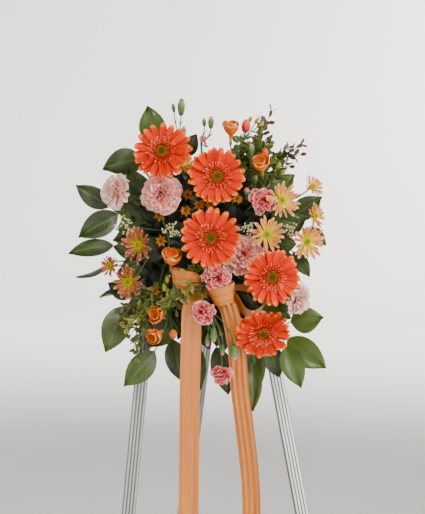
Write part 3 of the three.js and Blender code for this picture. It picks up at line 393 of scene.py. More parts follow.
class Finish(Enum):
    """The finishes: each one's name, for what the material is, and what builds its nodes."""

    # Living petal: velvety, a little translucent, with a paler rim at its tip.
    GERBERA_RAY = "gerbera_ray_petal", Petal(
        ((0.0, "841400"), (0.4, "CC2400"), (0.8, "DE3002"), (1.0, "E84608")), "AE1C00", edge="FF9238",
        edge_from=0.86, edge_start=0.5, strength=0.5, spread=0.2, gloss=0.08)
    # Narrow florets that curl to paler ends.
    GERBERA_FRINGE = "gerbera_fringe_floret", Petal(
        ((0.0, "8C1A02"), (0.5, "CC2C06"), (0.78, "E65230"), (1.0, "FF9C74")), "A81C02", spread=0.3)
    # Packed disc florets: green in the middle, then yellow-brown.
    GERBERA_EYE = "gerbera_eye", Petal(
        ((0.0, "4E4E0E"), (0.45, "6E5E14"), (0.8, "9A6A16"), (1.0, "CC7A22")), "4E3E0E", by_shade=True,
        streaks=2.0, spread=0.1)
    # Thin frilled petal, deeper in its folds.
    CARNATION = "pink_carnation_petal", Petal(
        ((0.0, "BE4A46"), (0.5, "E67A74"), (0.85, "F4A69A"), (1.0, "FDD2C6")), "D8605C", strength=0.5,
        glow=0.2, spread=0.12)
    # A paler copy of the same petal for the two heads turned aside: painted light.
    LIT_CARNATION = "palest_carnation_petal", Petal(
        ((0.0, "DC7C72"), (0.5, "F6AEA0"), (0.85, "FCD0C4"), (1.0, "FFE6DC")), "EE9A90", strength=0.4,
        glow=0.25, spread=0.06)
    MINI = "deep_carnation_petal", Petal(
        ((0.0, "9C1022"), (0.5, "D02C3C"), (0.85, "EC6C70"), (1.0, "FCC4BA")), "AE1A2C", strength=0.6,
        edge="F8C2BA", edge_from=0.93)
    # Ribbed strap petal: yellow at its base, dusty salmon outwards, with paler edges.
    MUM = "daisy_mum_petal", Petal(
        ((0.0, "D0BC00"), (0.34, "E4C000"), (0.54, "E0963A"), (0.76, "CE6C42"), (1.0, "BA4A34")), "E6A040",
        strength=0.3, edge="F6C890", edge_from=0.76, edge_start=0.15, spread=0.18)
    # Redder petal for the left-hand spray: its red tone is its own, and its darker colour all over is painted
    # shade.
    SHADED_RED_MUM = "deep_daisy_mum_petal", Petal(
        ((0.0, "A09408"), (0.32, "AE8C12"), (0.5, "AE6430"), (0.74, "9A3C32"), (1.0, "88302E")), "B86C3C",
        strength=0.3, edge="E6A874", edge_from=0.8, edge_start=0.15, spread=0.25)
    MUM_EYE = "daisy_mum_eye", Petal(
        ((0.0, "6E8208"), (0.5, "AAAA0C"), (1.0, "ECD000")), "6E7A0A", by_shade=True, streaks=2.0, spread=0.1)
    BUTTON = "button_mum_petal", Petal(
        ((0.0, "B08A1A"), (0.5, "C07428"), (1.0, "DC9248")), "8E4A1A", strength=0.5, edge="96481A",
        edge_from=0.6, edge_start=0.1)
    BUTTON_EYE = "button_mum_eye", Petal(
        ((0.0, "4E4E10"), (1.0, "8E6E1C")), "4E3610", by_shade=True, streaks=2.0, spread=0.1)
    BUD_TIP = "carnation_bud_tip", Petal(
        ((0.0, "F0988A"), (0.6, "DE4A5C"), (1.0, "C42C4C")), "F6B8AC", strength=0.5)
    # Waxy trumpet petal, glossier than the others.
    FREESIA = "freesia_petal", Petal(
        ((0.0, "F09C08"), (0.5, "EC8206"), (0.85, "E0620A"), (1.0, "D84812")), "D44A10", strength=0.5,
        edge="F8B040", edge_from=0.88, roughness=0.26, glow=0.2, gloss=0.6)
    FREESIA_BUD = "freesia_bud", Petal(
        ((0.0, "A8981C"), (0.4, "DE7E10"), (1.0, "BE2A1C")), "B8441C", roughness=0.3, gloss=0.5)
    RED_BUD = "red_freesia_bud", Petal(
        ((0.0, "A80C2C"), (0.45, "CC2416"), (1.0, "E0600C")), "A00C2A", roughness=0.3, gloss=0.5)
    LIME_BUD = "young_freesia_bud", Petal(
        ((0.0, "5C6C14"), (0.5, "98981C"), (1.0, "B8B02A")), "6C7818", roughness=0.4, gloss=0.3)
    # Soft green skin with faint lengthwise lines.
    STEM = "fresh_green_stem", Mottled("38501E", "566E2E", (260.0, 260.0, 40.0), roughness=0.5)
    CALYX = "waxy_calyx", Petal(
        ((0.0, "3C5A26"), (0.6, "52703A"), (1.0, "82985C")), "30501E", roughness=0.45, glow=0.05, gloss=0.35)
    BOXWOOD = "boxwood_leaf", Leaf(
        "22340F", "506222", "6E7A36", margin="76803A", roughness=0.4, vein_strength=0.1)
    RED_BOXWOOD = "reddish_boxwood_leaf", Leaf(
        "36441C", "62622A", "726238", margin="625E30", tip="5A3028", roughness=0.42, vein_strength=0.1)
    VARIEGATED = "variegated_boxwood_leaf", Leaf(
        "344812", "6E7624", "8E8E40", margin="B6A856", roughness=0.4, vein_strength=0.1)
    # Small waxy buds, cream with a greenish foot.
    WHITE_BUD = "white_bud", Petal(
        ((0.0, "76783A"), (0.4, "BEB47C"), (1.0, "E6DAB0")), "9E9660", roughness=0.5)
    # Thick leathery leaf: a waxy gloss, and a midrib and veins that are only a little paler.
    SALAL = "salal_leaf", Leaf("101C08", "465C18", "5E7034", vein_strength=0.25, veins=7.0)
    # The same kind of leaf, painted almost black for the leaves inside the spray and behind it: painted
    # shade.
    SHADED_LEAF = "inner_foliage", Leaf(
        "0A1206", "18260E", "22320F", roughness=0.45, coat=0.03, vein_strength=0.2)
    TWIG = "woody_twig", Mottled("5B4A30", "7A6A44", (300.0, 300.0, 60.0), roughness=0.75)
    SATIN = "copper_satin", Satin("DB8226", "BE6818")
    # Rolled strip with a bright zinc plating, faintly drawn along its length.
    STEEL = "zinc_plated_steel", Mottled(
        "CFD0D1", "E2E3E4", (60.0, 60.0, 12.0), roughness=0.3, metal=1.0, depth=0.0001, strength=0.05)
    WIRE = "binding_wire", Mottled("4E5A4A", "6A7664", (400.0, 400.0, 400.0), roughness=0.4, metal=0.6)
    # Open-celled foam, crumbly and matt.
    FOAM = "wet_floral_foam", Mottled(
        "2F4A30", "4A6B45", (1400.0, 1400.0, 1400.0), roughness=0.95, depth=0.0012, strength=0.8,
        rough_spread=0.03)
    PLASTIC = "moulded_cage_plastic", Mottled(
        "21382A", "2B4635", (220.0, 220.0, 220.0), roughness=0.42, depth=0.0001)
    WOOD = "pick_wood", Mottled("A8875A", "C9AC7C", (500.0, 60.0, 500.0), roughness=0.7)

    def __init__(self, label: str, paint: Any) -> None:
        """Keeps both."""
        self.label, self.paint = label, paint


class Paints:
    """The materials, each made once when it is first asked for."""

    def __init__(self) -> None:
        """Starts with none made."""
        self.made: dict[Finish, Material] = {}

    def of(self, finish: Finish) -> Material:
        """The material of a finish.

        Args:
            finish: which one.

        Returns:
            The material.
        """
        if finish not in self.made:
            self.made[finish] = self.make(finish.label, finish.paint)
        return self.made[finish]

    @staticmethod
    def make(name: str, paint: Any) -> Material:
        """Makes a material.

        Args:
            name: its name.
            paint: what builds its nodes.

        Returns:
            The material.
        """
        material = bpy.data.materials.new(name)
        material.use_nodes = True
        tree = material.node_tree
        tree.nodes.clear()
        paint.dress(partial(add_node, tree))
        surface = next(n for n in tree.nodes if n.type == "BSDF_PRINCIPLED")
        add_node(tree, "ShaderNodeOutputMaterial", links={"Surface": surface})
        return material


PAINTS = Paints()


def ring_faces(rings: int, sides: int) -> list[tuple[int, ...]]:
    """The faces that join rings of points, one ring after the other, and then close both ends.

    Args:
        rings: how many rings.
        sides: how many points each has.

    Returns:
        Each face's corners.
    """
    faces = [(i * sides + k, i * sides + (k + 1) % sides, (i + 1) * sides + (k + 1) % sides,
              (i + 1) * sides + k) for i in range(rings - 1) for k in range(sides)]
    last = (rings - 1) * sides
    return [*faces, tuple(reversed(range(sides))), tuple(range(last, last + sides))]


class Shape:
    """A mesh in the making, in mm: its points, faces, each face's finish, and values at its points.

    The values are how far along a petal or strip a point is, how far across it, and a random shade.
    """

    def __init__(self) -> None:
        """Starts empty."""
        self.points: list[np.ndarray] = []
        self.values: list[np.ndarray] = []
        self.faces: list[tuple[int, ...]] = []
        self.finishes: list[Finish] = []
        self.count = 0

    def add(self, points: np.ndarray, faces: Iterable[Sequence[int]], finish: Finish | list[Finish],
            values: np.ndarray | None = None) -> "Shape":
        """Adds points and faces.

        Args:
            points: one row of three for each point.
            faces: each face's corners, by number.
            finish: the finish of all the faces, or one for each.
            values: one row of three for each point.

        Returns:
            This shape.
        """
        rows = [tuple(int(i) + self.count for i in face) for face in faces]
        self.points.append(np.asarray(points, float).reshape(-1, 3))
        self.values.append(np.zeros((len(points), 3)) if values is None else np.asarray(values, float))
        self.faces += rows
        self.finishes += finish if isinstance(finish, list) else [finish] * len(rows)
        self.count += len(points)
        return self

    def extend(self, other: "Shape", matrix: Matrix = Matrix.Identity(4)) -> "Shape":
        """Adds another shape, placed by a matrix.

        Args:
            other: the shape.
            matrix: its placement.

        Returns:
            This shape.
        """
        if other.count:
            turn = np.array(matrix)
            points = np.concatenate(other.points) @ turn[:3, :3].T + turn[:3, 3]
            self.add(points, other.faces, list(other.finishes), np.concatenate(other.values))
        return self

    def sheet(self, grid: np.ndarray, finish: Finish, thickness: float, along: np.ndarray | None = None,
              shade: float = 0.5) -> "Shape":
        """Adds a thin closed blade through a grid of points, whose two faces meet at its rim.

        Args:
            grid: rows along the blade, each of points across it, anticlockwise seen from its face.
            finish: its finish.
            thickness: its thickness in mm, away from the rim.
            along: the value along it for each row, from 0 to 1 if it isn't given.
            shade: its shade.

        Returns:
            This shape.
        """
        rows, columns = grid.shape[:2]
        normal = np.cross(np.gradient(grid, axis=0), np.gradient(grid, axis=1))
        normal /= np.maximum(np.linalg.norm(normal, axis=2, keepdims=True), 1e-9)
        back = (grid - normal * thickness)[1:-1, 1:-1].reshape(-1, 3)
        front = np.arange(rows * columns).reshape(rows, columns)
        under = front.copy()
        under[1:-1, 1:-1] = rows * columns + np.arange(len(back)).reshape(rows - 2, columns - 2)
        corners = [(i, j) for i in range(rows - 1) for j in range(columns - 1)]
        faces = [(front[i, j], front[i + 1, j], front[i + 1, j + 1], front[i, j + 1]) for i, j in corners]
        faces += [(under[i, j], under[i, j + 1], under[i + 1, j + 1], under[i + 1, j]) for i, j in corners]
        run = np.linspace(0, 1, rows) if along is None else along
        side = np.linspace(-1, 1, columns)
        values = np.stack([*np.meshgrid(run, side, indexing="ij"), np.full((rows, columns), shade)], axis=2)
        inner = values[1:-1, 1:-1].reshape(-1, 3)
        return self.add(np.concatenate([grid.reshape(-1, 3), back]), faces, finish,
                        np.concatenate([values.reshape(-1, 3), inner]))

    def tube(self, points: Sequence[Vector], radii: float | Sequence[float], finish: Finish, sides: int = 8,
             shade: float = 0.5) -> "Shape":
        """Adds a round closed tube along points.

        Args:
            points: its middle line.
            radii: one radius, or one for each point.
            finish: its finish.
            sides: how many sides it has.
            shade: its shade.

        Returns:
            This shape.
        """
        sizes = [radii] * len(points) if isinstance(radii, (int, float)) else list(radii)
        side = Vector((0.31, 0.17, 0.93))
        rings, values = [], []
        for i, (point, radius) in enumerate(zip(points, sizes)):
            run = (points[min(i + 1, len(points) - 1)] - points[max(i - 1, 0)]).normalized()
            side = (side - run * side.dot(run)).normalized()
            other = run.cross(side)
            turns = [2 * pi * k / sides for k in range(sides)]
            rings += [point + (side * cos(t) + other * sin(t)) * radius for t in turns]
            values += [(i / (len(points) - 1), k / sides, shade) for k in range(sides)]
        return self.add(np.array(rings), ring_faces(len(points), sides), finish, np.array(values))

    def turned(self, profile: Sequence[tuple[float, float]], finish: Finish, sides: int = 12,
               shade: float = 0.5, flutes: float = 0.0) -> "Shape":
        """Adds a closed turned shape round +Z.

        Args:
            profile: pairs of radius and height, from its foot to its top.
            finish: its finish.
            sides: how many sides it has.
            shade: its shade.
            flutes: how much every other side draws in, as a share of the radius.

        Returns:
            This shape.
        """
        turns = np.arange(sides) * 2 * pi / sides
        draw = 1 - flutes * (np.arange(sides) % 2)
        rings = [np.stack([r * draw * np.cos(turns), r * draw * np.sin(turns), np.full(sides, z)], axis=1)
                 for r, z in profile]
        values = [np.stack([np.full(sides, i / (len(profile) - 1)), turns, np.full(sides, shade)], axis=1)
                  for i in range(len(profile))]
        return self.add(
            np.concatenate(rings), ring_faces(len(profile), sides), finish, np.concatenate(values))

    def mesh(self, name: str, shaded: bool = True) -> Mesh:
        """Makes the Blender mesh, in mm.

        Args:
            name: the mesh's name.
            shaded: whether it gets the shade attribute.

        Returns:
            The mesh.
        """
        made = bpy.data.meshes.new(name)
        made.from_pydata(np.concatenate(self.points).tolist(), [], self.faces)
        values = np.concatenate(self.values).astype(np.float32)
        for column, label in enumerate(POINT_VALUES if shaded else POINT_VALUES[:2]):
            layer = made.attributes.new(label, "FLOAT", "POINT")
            layer.data.foreach_set("value", np.ascontiguousarray(values[:, column]))
        made.polygons.foreach_set("use_smooth", [True] * len(made.polygons))
        return made

    def piece(self, name: str) -> Object:
        """Makes the object in the row frame, in metres, with its materials.

        Args:
            name: the object's name.

        Returns:
            The object.
        """
        made = self.mesh(name)
        kinds = sorted(set(self.finishes), key=lambda kind: kind.label)
        for kind in kinds:
            made.materials.append(PAINTS.of(kind))
        number = {kind: i for i, kind in enumerate(kinds)}
        made.polygons.foreach_set("material_index", [number[kind] for kind in self.finishes])
        made.transform(Matrix.Scale(MM, 4) @ Matrix.Translation(PLACE_OF_O))
        made.set_sharp_from_angle(angle=SHARP)
        made.update()
        thing = bpy.data.objects.new(name, made)
        bpy.context.scene.collection.objects.link(thing)
        return thing


def settle(shape: Shape, name: str, slot: str, nodes: Sequence[str] = ()) -> Object:
    """Makes a piece of the spray, which rides on its body and may stand for CAD nodes.

    Args:
        shape: the piece's shape.
        name: its name.
        slot: a material slot's name; not used.
        nodes: the CAD nodes that it replaces.

    Returns:
        The piece.
    """
    thing = shape.piece(name)
    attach(thing, SPRAY)
    if nodes:
        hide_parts(*nodes)
    LOG.info("%s: %d faces", name, len(thing.data.polygons))
    return thing


@dataclass(frozen=True)
class Blade:
    """A petal or a leaf along +X with its face up. Lengths are in mm, the rest are shares."""

    length: float
    width: float
    outline: tuple[tuple[float, float], ...]  # shares of the length and the width
    columns: int = 5
    curl: float = 0.0  # rise of the tip, as a share of the length
    arch: float = 0.0  # rise of the middle, as a share of the length
    cup: float = 0.0  # rise of the edges, as a share of the width
    fold: float = 0.0  # drop of the midrib, as a share of the width
    groove: float = 0.0  # depth of its two lengthwise grooves
    ruffle: float = 0.0  # height of the waves at its edge
    waves: float = 5.0
    frill: float = 0.0  # height of the fine crimps at its tip
    blunt: float = 0.0  # how far the corners of its tip lie back, as a share of the length
    teeth: float = 0.0  # depth of the teeth at its tip
    twist: float = 0.0  # radians, from foot to tip
    sway: float = 0.0  # sideways bend of the tip, as a share of the length
    thickness: float = 0.5

    def shape(self, finish: Finish, seed: int, shade: float = 0.5) -> Shape:
        """Builds the blade.

        Args:
            finish: its finish.
            seed: of what is random in it.
            shade: its shade.

        Returns:
            The shape.
        """
        rng = random.Random(seed)
        phase, bend, lift = rng.uniform(0, 6.28), rng.uniform(-1, 1), rng.uniform(0.6, 1.3)
        jag = np.array([[rng.uniform(0.2, 1.0) * (1 if k % 2 else -1) for k in range(self.columns)]])
        run = np.array([v for v, _ in self.outline])[:, None]
        half = np.array([w for _, w in self.outline])[:, None] * self.width / 2
        side = np.linspace(-1, 1, self.columns)[None, :]
        x = self.length * run * (1 - self.blunt * side ** 2 * run) + self.teeth * jag * run ** 12
        y = side * half
        z = (self.length * (self.curl * lift * run ** 2 + self.arch * np.sin(pi * run))
             + 2 * half * self.cup * side ** 2 + 2 * half * self.fold * np.abs(side)
             + self.groove * np.cos(2 * pi * side) * np.minimum(1, 4 * run) * (side ** 2 < 0.99))
        wave = (np.sin(self.waves * pi * side / 2 + phase)
                + 0.5 * np.sin(self.waves * 2.3 * side + 2 * phase + 3 * run))
        z = z + self.ruffle * wave * run ** 2 + self.frill * jag * run ** 7
        wavy = self.ruffle * 0.35 * np.cos(self.waves * pi * side / 2 + phase) * run ** 2
        turn = self.twist * bend * run
        y, z = y * np.cos(turn) - z * np.sin(turn), y * np.sin(turn) + z * np.cos(turn)
        y = y + wavy + self.sway * bend * self.length * run ** 2
        return Shape().sheet(np.stack([x, y, z], axis=2), finish, self.thickness, run[:, 0], shade)


RAY = ((0.0, 0.4), (0.15, 0.54), (0.35, 0.76), (0.55, 0.93), (0.7, 1.0), (0.83, 0.92), (0.92, 0.7),
       (0.975, 0.4), (1.0, 0.12))
STRAP = ((0.0, 0.5), (0.2, 0.62), (0.45, 0.84), (0.7, 1.0), (0.86, 0.88), (0.96, 0.52), (1.0, 0.16))
FAN = ((0.0, 0.1), (0.28, 0.26), (0.52, 0.56), (0.72, 0.84), (0.86, 0.98), (0.94, 1.0), (1.0, 0.97))
ROUND = ((0.0, 0.24), (0.16, 0.6), (0.36, 0.92), (0.56, 1.0), (0.75, 0.97), (0.89, 0.8), (0.97, 0.54),
         (1.0, 0.26))
STAR = ((0.0, 0.5), (0.2, 0.86), (0.42, 1.0), (0.65, 0.76), (0.85, 0.4), (1.0, 0.08))
OVATE = ((0.0, 0.25), (0.14, 0.62), (0.32, 0.93), (0.5, 1.0), (0.68, 0.9), (0.84, 0.64), (0.95, 0.32),
         (1.0, 0.08))
LEAF = ((0.0, 0.06), (0.05, 0.3), (0.13, 0.6), (0.24, 0.84), (0.36, 0.97), (0.48, 1.0), (0.6, 0.93),
        (0.72, 0.76), (0.83, 0.52), (0.91, 0.29), (0.97, 0.1), (1.0, 0.02))
SMALL_LEAF = ((0.0, 0.12), (0.18, 0.5), (0.4, 0.88), (0.62, 1.0), (0.82, 0.84), (0.94, 0.5), (1.0, 0.12))


class Grower:
    """Geometry Nodes trees for what repeats: petals in a ring, florets on a disc, leaves on a stem."""

    def __init__(self) -> None:
        """Builds the three trees."""
        self.trees = {kind: getattr(self, f"{kind}_tree")() for kind in ("ring", "disc", "path")}

    @staticmethod
    def start(name: str, *labels: str) -> tuple[NodeTree, Adder, Any]:
        """Makes an empty tree with named inputs: the parts that it repeats, their count and finish, and more.

        Args:
            name: the tree's name.
            labels: the further inputs' names.

        Returns:
            The tree, what adds its nodes, and its input node's outputs.
        """
        tree = bpy.data.node_groups.new(name, "GeometryNodeTree")
        for label in ("Geometry", "Parts", "Count", "Finish", *labels):
            tree.interface.new_socket(
                label, in_out="INPUT", socket_type=SOCKETS.get(label, "NodeSocketFloat"))
        tree.interface.new_socket("Geometry", in_out="OUTPUT", socket_type=SOCKETS["Geometry"])
        add = partial(add_node, tree)
        return tree, add, add("NodeGroupInput").outputs

    @staticmethod
    def jitter(add: Adder, given: Any) -> Any:
        """Adds three random numbers from -1 to 1 for each point."""
        noise = add("FunctionNodeRandomValue", {
            "data_type": "FLOAT_VECTOR", 0: (-1.0, -1.0, -1.0), 1: (1.0, 1.0, 1.0)}, {8: given["Seed"]})
        return add(FROM_XYZ, links={0: noise}).outputs

    @staticmethod
    def place(add: Adder, given: Any, links: dict[str, Any]) -> Node:
        """Sets the parts at points in turn, with the links that give the points, the turns and the sizes."""
        parts = add("GeometryNodeCollectionInfo", {
            "Separate Children": True, "Reset Children": True}, {"Collection": given["Parts"]})
        return add("GeometryNodeInstanceOnPoints", {
            "Pick Instance": True}, {"Instance": parts, "Instance Index": add(INDEX), **links})

    def around(self, add: Adder, given: Any, foot: dict[str, Any], turn: Any, lean: Any,
               **links: Any) -> Node:
        """Sets the parts round +Z.

        Args:
            add: what adds nodes to the tree.
            given: its input node's outputs.
            foot: what gives the place of a part's foot before it is turned, by axis.
            turn: what gives its turn about +Z.
            lean: what gives its turn about its own Y.
            links: what gives its scale.

        Returns:
            The node that holds the instances.
        """
        start = add(TO_XYZ, links=foot)
        spot = add("ShaderNodeVectorRotate", {"rotation_type": "Z_AXIS"}, {"Vector": start, "Angle": turn})
        points = add("GeometryNodePoints", links={"Count": given["Count"], "Position": spot})
        euler = add(TO_XYZ, links={"Y": lean, "Z": turn})
        turned = add("FunctionNodeEulerToRotation", links={0: euler})
        return self.place(add, given, {"Points": points, "Rotation": turned, **links})

    @staticmethod
    def end(tree: NodeTree, add: Adder, given: Any, placed: Sequence[Node], shade: Any) -> NodeTree:
        """Ends a tree: the shade, real meshes, and their material.

        Args:
            tree: the tree.
            add: what adds nodes to it.
            given: its input node's outputs.
            placed: the nodes that hold the instances.
            shade: what gives each instance's shade.

        Returns:
            The tree.
        """
        joined = add("GeometryNodeJoinGeometry")
        for source in placed:
            tree.links.new(source.outputs[0], joined.inputs[0])
        marked = add(
            "GeometryNodeStoreNamedAttribute", {"data_type": "FLOAT", "domain": "INSTANCE", "Name": "shade"},
            {"Geometry": joined, "Value": shade})
        real = add("GeometryNodeRealizeInstances", links={0: marked})
        painted = add("GeometryNodeSetMaterial", links={"Geometry": real, "Material": given["Finish"]})
        add("NodeGroupOutput", links={0: painted})
        return tree

    def ring_tree(self) -> NodeTree:
        """The tree of a ring of petals round +Z, each a little different in turn, tilt and size."""
        tree, add, given = self.start(
            "petal_ring", "Foot", "Tilt", "Tilt spread", "Turn spread", "Size spread", "Phase", "Seed")
        jitter = self.jitter(add, given)
        late = add(MATH, MULTIPLY_ADD, {0: jitter[0], 1: given["Turn spread"], 2: given["Phase"]})
        place = add(MATH, {"operation": "ADD"}, {0: add(INDEX), 1: late})
        step = add(MATH, {"operation": "DIVIDE", 0: 2 * pi}, {1: given["Count"]})
        turn = add(MATH, MULTIPLY, {0: place, 1: step})
        rise = add(MATH, MULTIPLY_ADD, {0: jitter[1], 1: given["Tilt spread"], 2: given["Tilt"]})
        down = add(MATH, {**MULTIPLY, 1: -1.0}, {0: rise})
        size = add(MATH, {**MULTIPLY_ADD, 2: 1.0}, {0: jitter[2], 1: given["Size spread"]})
        placed = self.around(add, given, {"X": given["Foot"]}, turn, down, Scale=size)
        shade = add("FunctionNodeRandomValue", {"data_type": "FLOAT", 2: 0.0, 3: 1.0}, {8: given["Seed"]})
        return self.end(tree, add, given, [placed], shade.outputs[1])

    def disc_tree(self) -> NodeTree:
        """The tree of florets packed in spirals on a dome, shaded from its middle to its rim."""
        tree, add, given = self.start("packed_disc", "Radius", "Dome", "Lean", "Turn")
        index = add(INDEX)
        middle = add(MATH, {"operation": "ADD", 1: 0.5}, {0: index})
        part = add(MATH, {"operation": "DIVIDE"}, {0: middle, 1: given["Count"]})
        share = add(MATH, {"operation": "SQRT"}, {0: part})
        turn = add(MATH, MULTIPLY, {0: index, 1: given["Turn"]})
        reach = add(MATH, MULTIPLY, {0: share, 1: given["Radius"]})
        fall = add(MATH, {"operation": "SUBTRACT", 0: 1.0}, {1: part})
        height = add(MATH, MULTIPLY, {0: fall, 1: given["Dome"]})
        lean = add(MATH, MULTIPLY, {0: share, 1: given["Lean"]})
        placed = self.around(add, given, {"X": reach, "Z": height}, turn, lean)
        return self.end(tree, add, given, [placed], share)

    def path_tree(self) -> NodeTree:
        """The tree of pairs of leaves along a stem, each pair turned on from the last and smaller."""
        tree, add, given = self.start(
            "leaf_pairs", "Tilt", "Tilt spread", "Turn", "First size", "Last size", "Seed")
        line = add("GeometryNodeMeshToCurve", links={0: given["Geometry"]})
        points = add("GeometryNodeCurveToPoints", {"mode": "COUNT"}, {"Curve": line, "Count": given["Count"]})
        index = add(INDEX)
        part = add(MATH, {"operation": "DIVIDE"}, {0: index, 1: given["Count"]})
        size = add(RANGE, links={0: part, 3: given["First size"], 4: given["Last size"]})
        turn = add(MATH, MULTIPLY, {0: index, 1: given["Turn"]})
        jitter = self.jitter(add, given)
        placed = []
        # The two leaves of a pair are opposite, and each takes the random numbers in its own order.
        for half, roll, rise, late in ((0.0, 0, 1, 2), (pi, 1, 0, 1)):
            opposite = add(MATH, {"operation": "ADD", 1: half}, {0: turn})
            loose = add(MATH, {**MULTIPLY_ADD, 1: 0.3}, {0: jitter[late], 2: opposite})
            tilt = add(MATH, MULTIPLY_ADD, {0: jitter[rise], 1: given["Tilt spread"], 2: given["Tilt"]})
            down = add(MATH, {**MULTIPLY, 1: -1.0}, {0: tilt})
            euler = add(TO_XYZ, links={"X": jitter[roll], "Y": down, "Z": loose})
            own = add("FunctionNodeEulerToRotation", links={0: euler})
            turned = add("FunctionNodeRotateRotation", {
                "rotation_space": "LOCAL"}, {0: points.outputs["Rotation"], 1: own})
            placed.append(self.place(add, given, {"Points": points, "Rotation": turned, "Scale": size}))
        return self.end(tree, add, given, placed, part)

    def grow(self, kind: str, finish: Finish, parts: Sequence[Shape], route: Sequence[Vector] = (),
             **inputs: float) -> Shape:
        """Runs a tree on some parts.

        Args:
            kind: ring, disc or path.
            finish: the finish of what it makes.
            parts: the shapes that it repeats, in turn.
            route: the stem, for a path.
            inputs: the tree's other inputs, by their names with spaces as underscores.

        Returns:
            The shape that it makes.
        """
        bin_ = bpy.data.collections.new("parts")
        sources = []
        for i, part in enumerate(parts):
            source = bpy.data.objects.new(f"part_{i:02}", part.mesh("part", shaded=False))
            bin_.objects.link(source)
            sources.append(source)
        line = bpy.data.meshes.new("line")
        line.from_pydata([tuple(p) for p in route], [(i, i + 1) for i in range(len(route) - 1)], [])
        holder = bpy.data.objects.new("holder", line)
        bpy.context.scene.collection.objects.link(holder)
        tree = self.trees[kind]
        modifier = holder.modifiers.new("grow", "NODES")
        modifier.node_group = tree
        values = {"Parts": bin_, "Finish": PAINTS.of(finish),
                  **{name.replace("_", " "): value for name, value in inputs.items()}}
        for item in tree.interface.items_tree:
            if item.in_out == "INPUT" and item.name in values:
                modifier[item.identifier] = values[item.name]
        bpy.context.view_layer.update()
        grown = bpy.data.meshes.new_from_object(holder.evaluated_get(bpy.context.evaluated_depsgraph_get()))
        result = self.read(grown, finish)
        for source in [holder, *sources]:
            mesh = source.data
            bpy.data.objects.remove(source)
            bpy.data.meshes.remove(mesh)
        bpy.data.meshes.remove(grown)
        bpy.data.collections.remove(bin_)
        return result

    @staticmethod
    def read(mesh: Mesh, finish: Finish) -> Shape:
        """Reads a mesh back into a shape.

        Args:
            mesh: the mesh.
            finish: the finish of its faces.

        Returns:
            The shape.
        """
        points = np.zeros(len(mesh.vertices) * 3)
        mesh.vertices.foreach_get("co", points)
        values = np.zeros((len(mesh.vertices), 3))
        for column, label in enumerate(POINT_VALUES):
            row = np.zeros(len(mesh.vertices), np.float32)
            mesh.attributes[label].data.foreach_get("value", row)
            values[:, column] = row
        return Shape().add(points.reshape(-1, 3), [tuple(p.vertices) for p in mesh.polygons], finish, values)

    def clear(self) -> None:
        """Removes the trees."""
        for tree in self.trees.values():
            bpy.data.node_groups.remove(tree)


@dataclass(frozen=True)
class Ring:
    """A ring of petals of one head: how many, the blade, and how it sits. Angles are in degrees."""

    count: int
    blade: Blade
    tilt: float
    foot: float = 3.0
    height: float = 0.0
    tilt_spread: float = 5.0
    turn_spread: float = 0.18
    size_spread: float = 0.06
    variants: int = 5

    def shape(self, grower: Grower, finish: Finish, seed: int) -> Shape:
        """Grows the ring.

        Args:
            grower: what runs the trees.
            finish: the petals' finish.
            seed: of what is random in it.

        Returns:
            The ring's shape.
        """
        parts = [self.blade.shape(finish, seed * 31 + k) for k in range(self.variants)]
        grown = grower.grow(
            "ring", finish, parts, Count=self.count, Foot=self.foot, Tilt=radians(self.tilt),
            Tilt_spread=radians(self.tilt_spread), Turn_spread=self.turn_spread, Size_spread=self.size_spread,
            Phase=(seed * 0.37) % 1.0, Seed=seed)
        return Shape().extend(grown, Matrix.Translation((0, 0, self.height)))


def eye_disc(grower: Grower, finish: Finish, count: int, radius: float, dome: float, height: float,
             size: float) -> Shape:
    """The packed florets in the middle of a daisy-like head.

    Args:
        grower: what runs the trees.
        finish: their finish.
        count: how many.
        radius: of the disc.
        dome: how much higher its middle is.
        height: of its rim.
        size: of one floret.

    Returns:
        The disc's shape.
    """
    floret = Shape().turned([(size * 0.5, -size), (size, 0.2 * size), (size * 0.55, size)], finish, 5)
    florets = grower.grow(
        "disc", finish, [floret], Count=count, Radius=radius, Dome=dome, Lean=0.7, Turn=GOLDEN)
    return Shape().extend(florets, Matrix.Translation((0, 0, height)))


@dataclass(frozen=True)
class Bloom:
    """Where a head sits and where it looks. The place is as seen() takes it."""

    place: Place
    face: tuple[float, float]
    size: float = 0.0
    length: float = 0.0
    kind: str = ""

    def matrix(self, roll: float = 0.0) -> Matrix:
        """The placement of its head."""
        return standing(seen(self.place), looking(self.face), roll)


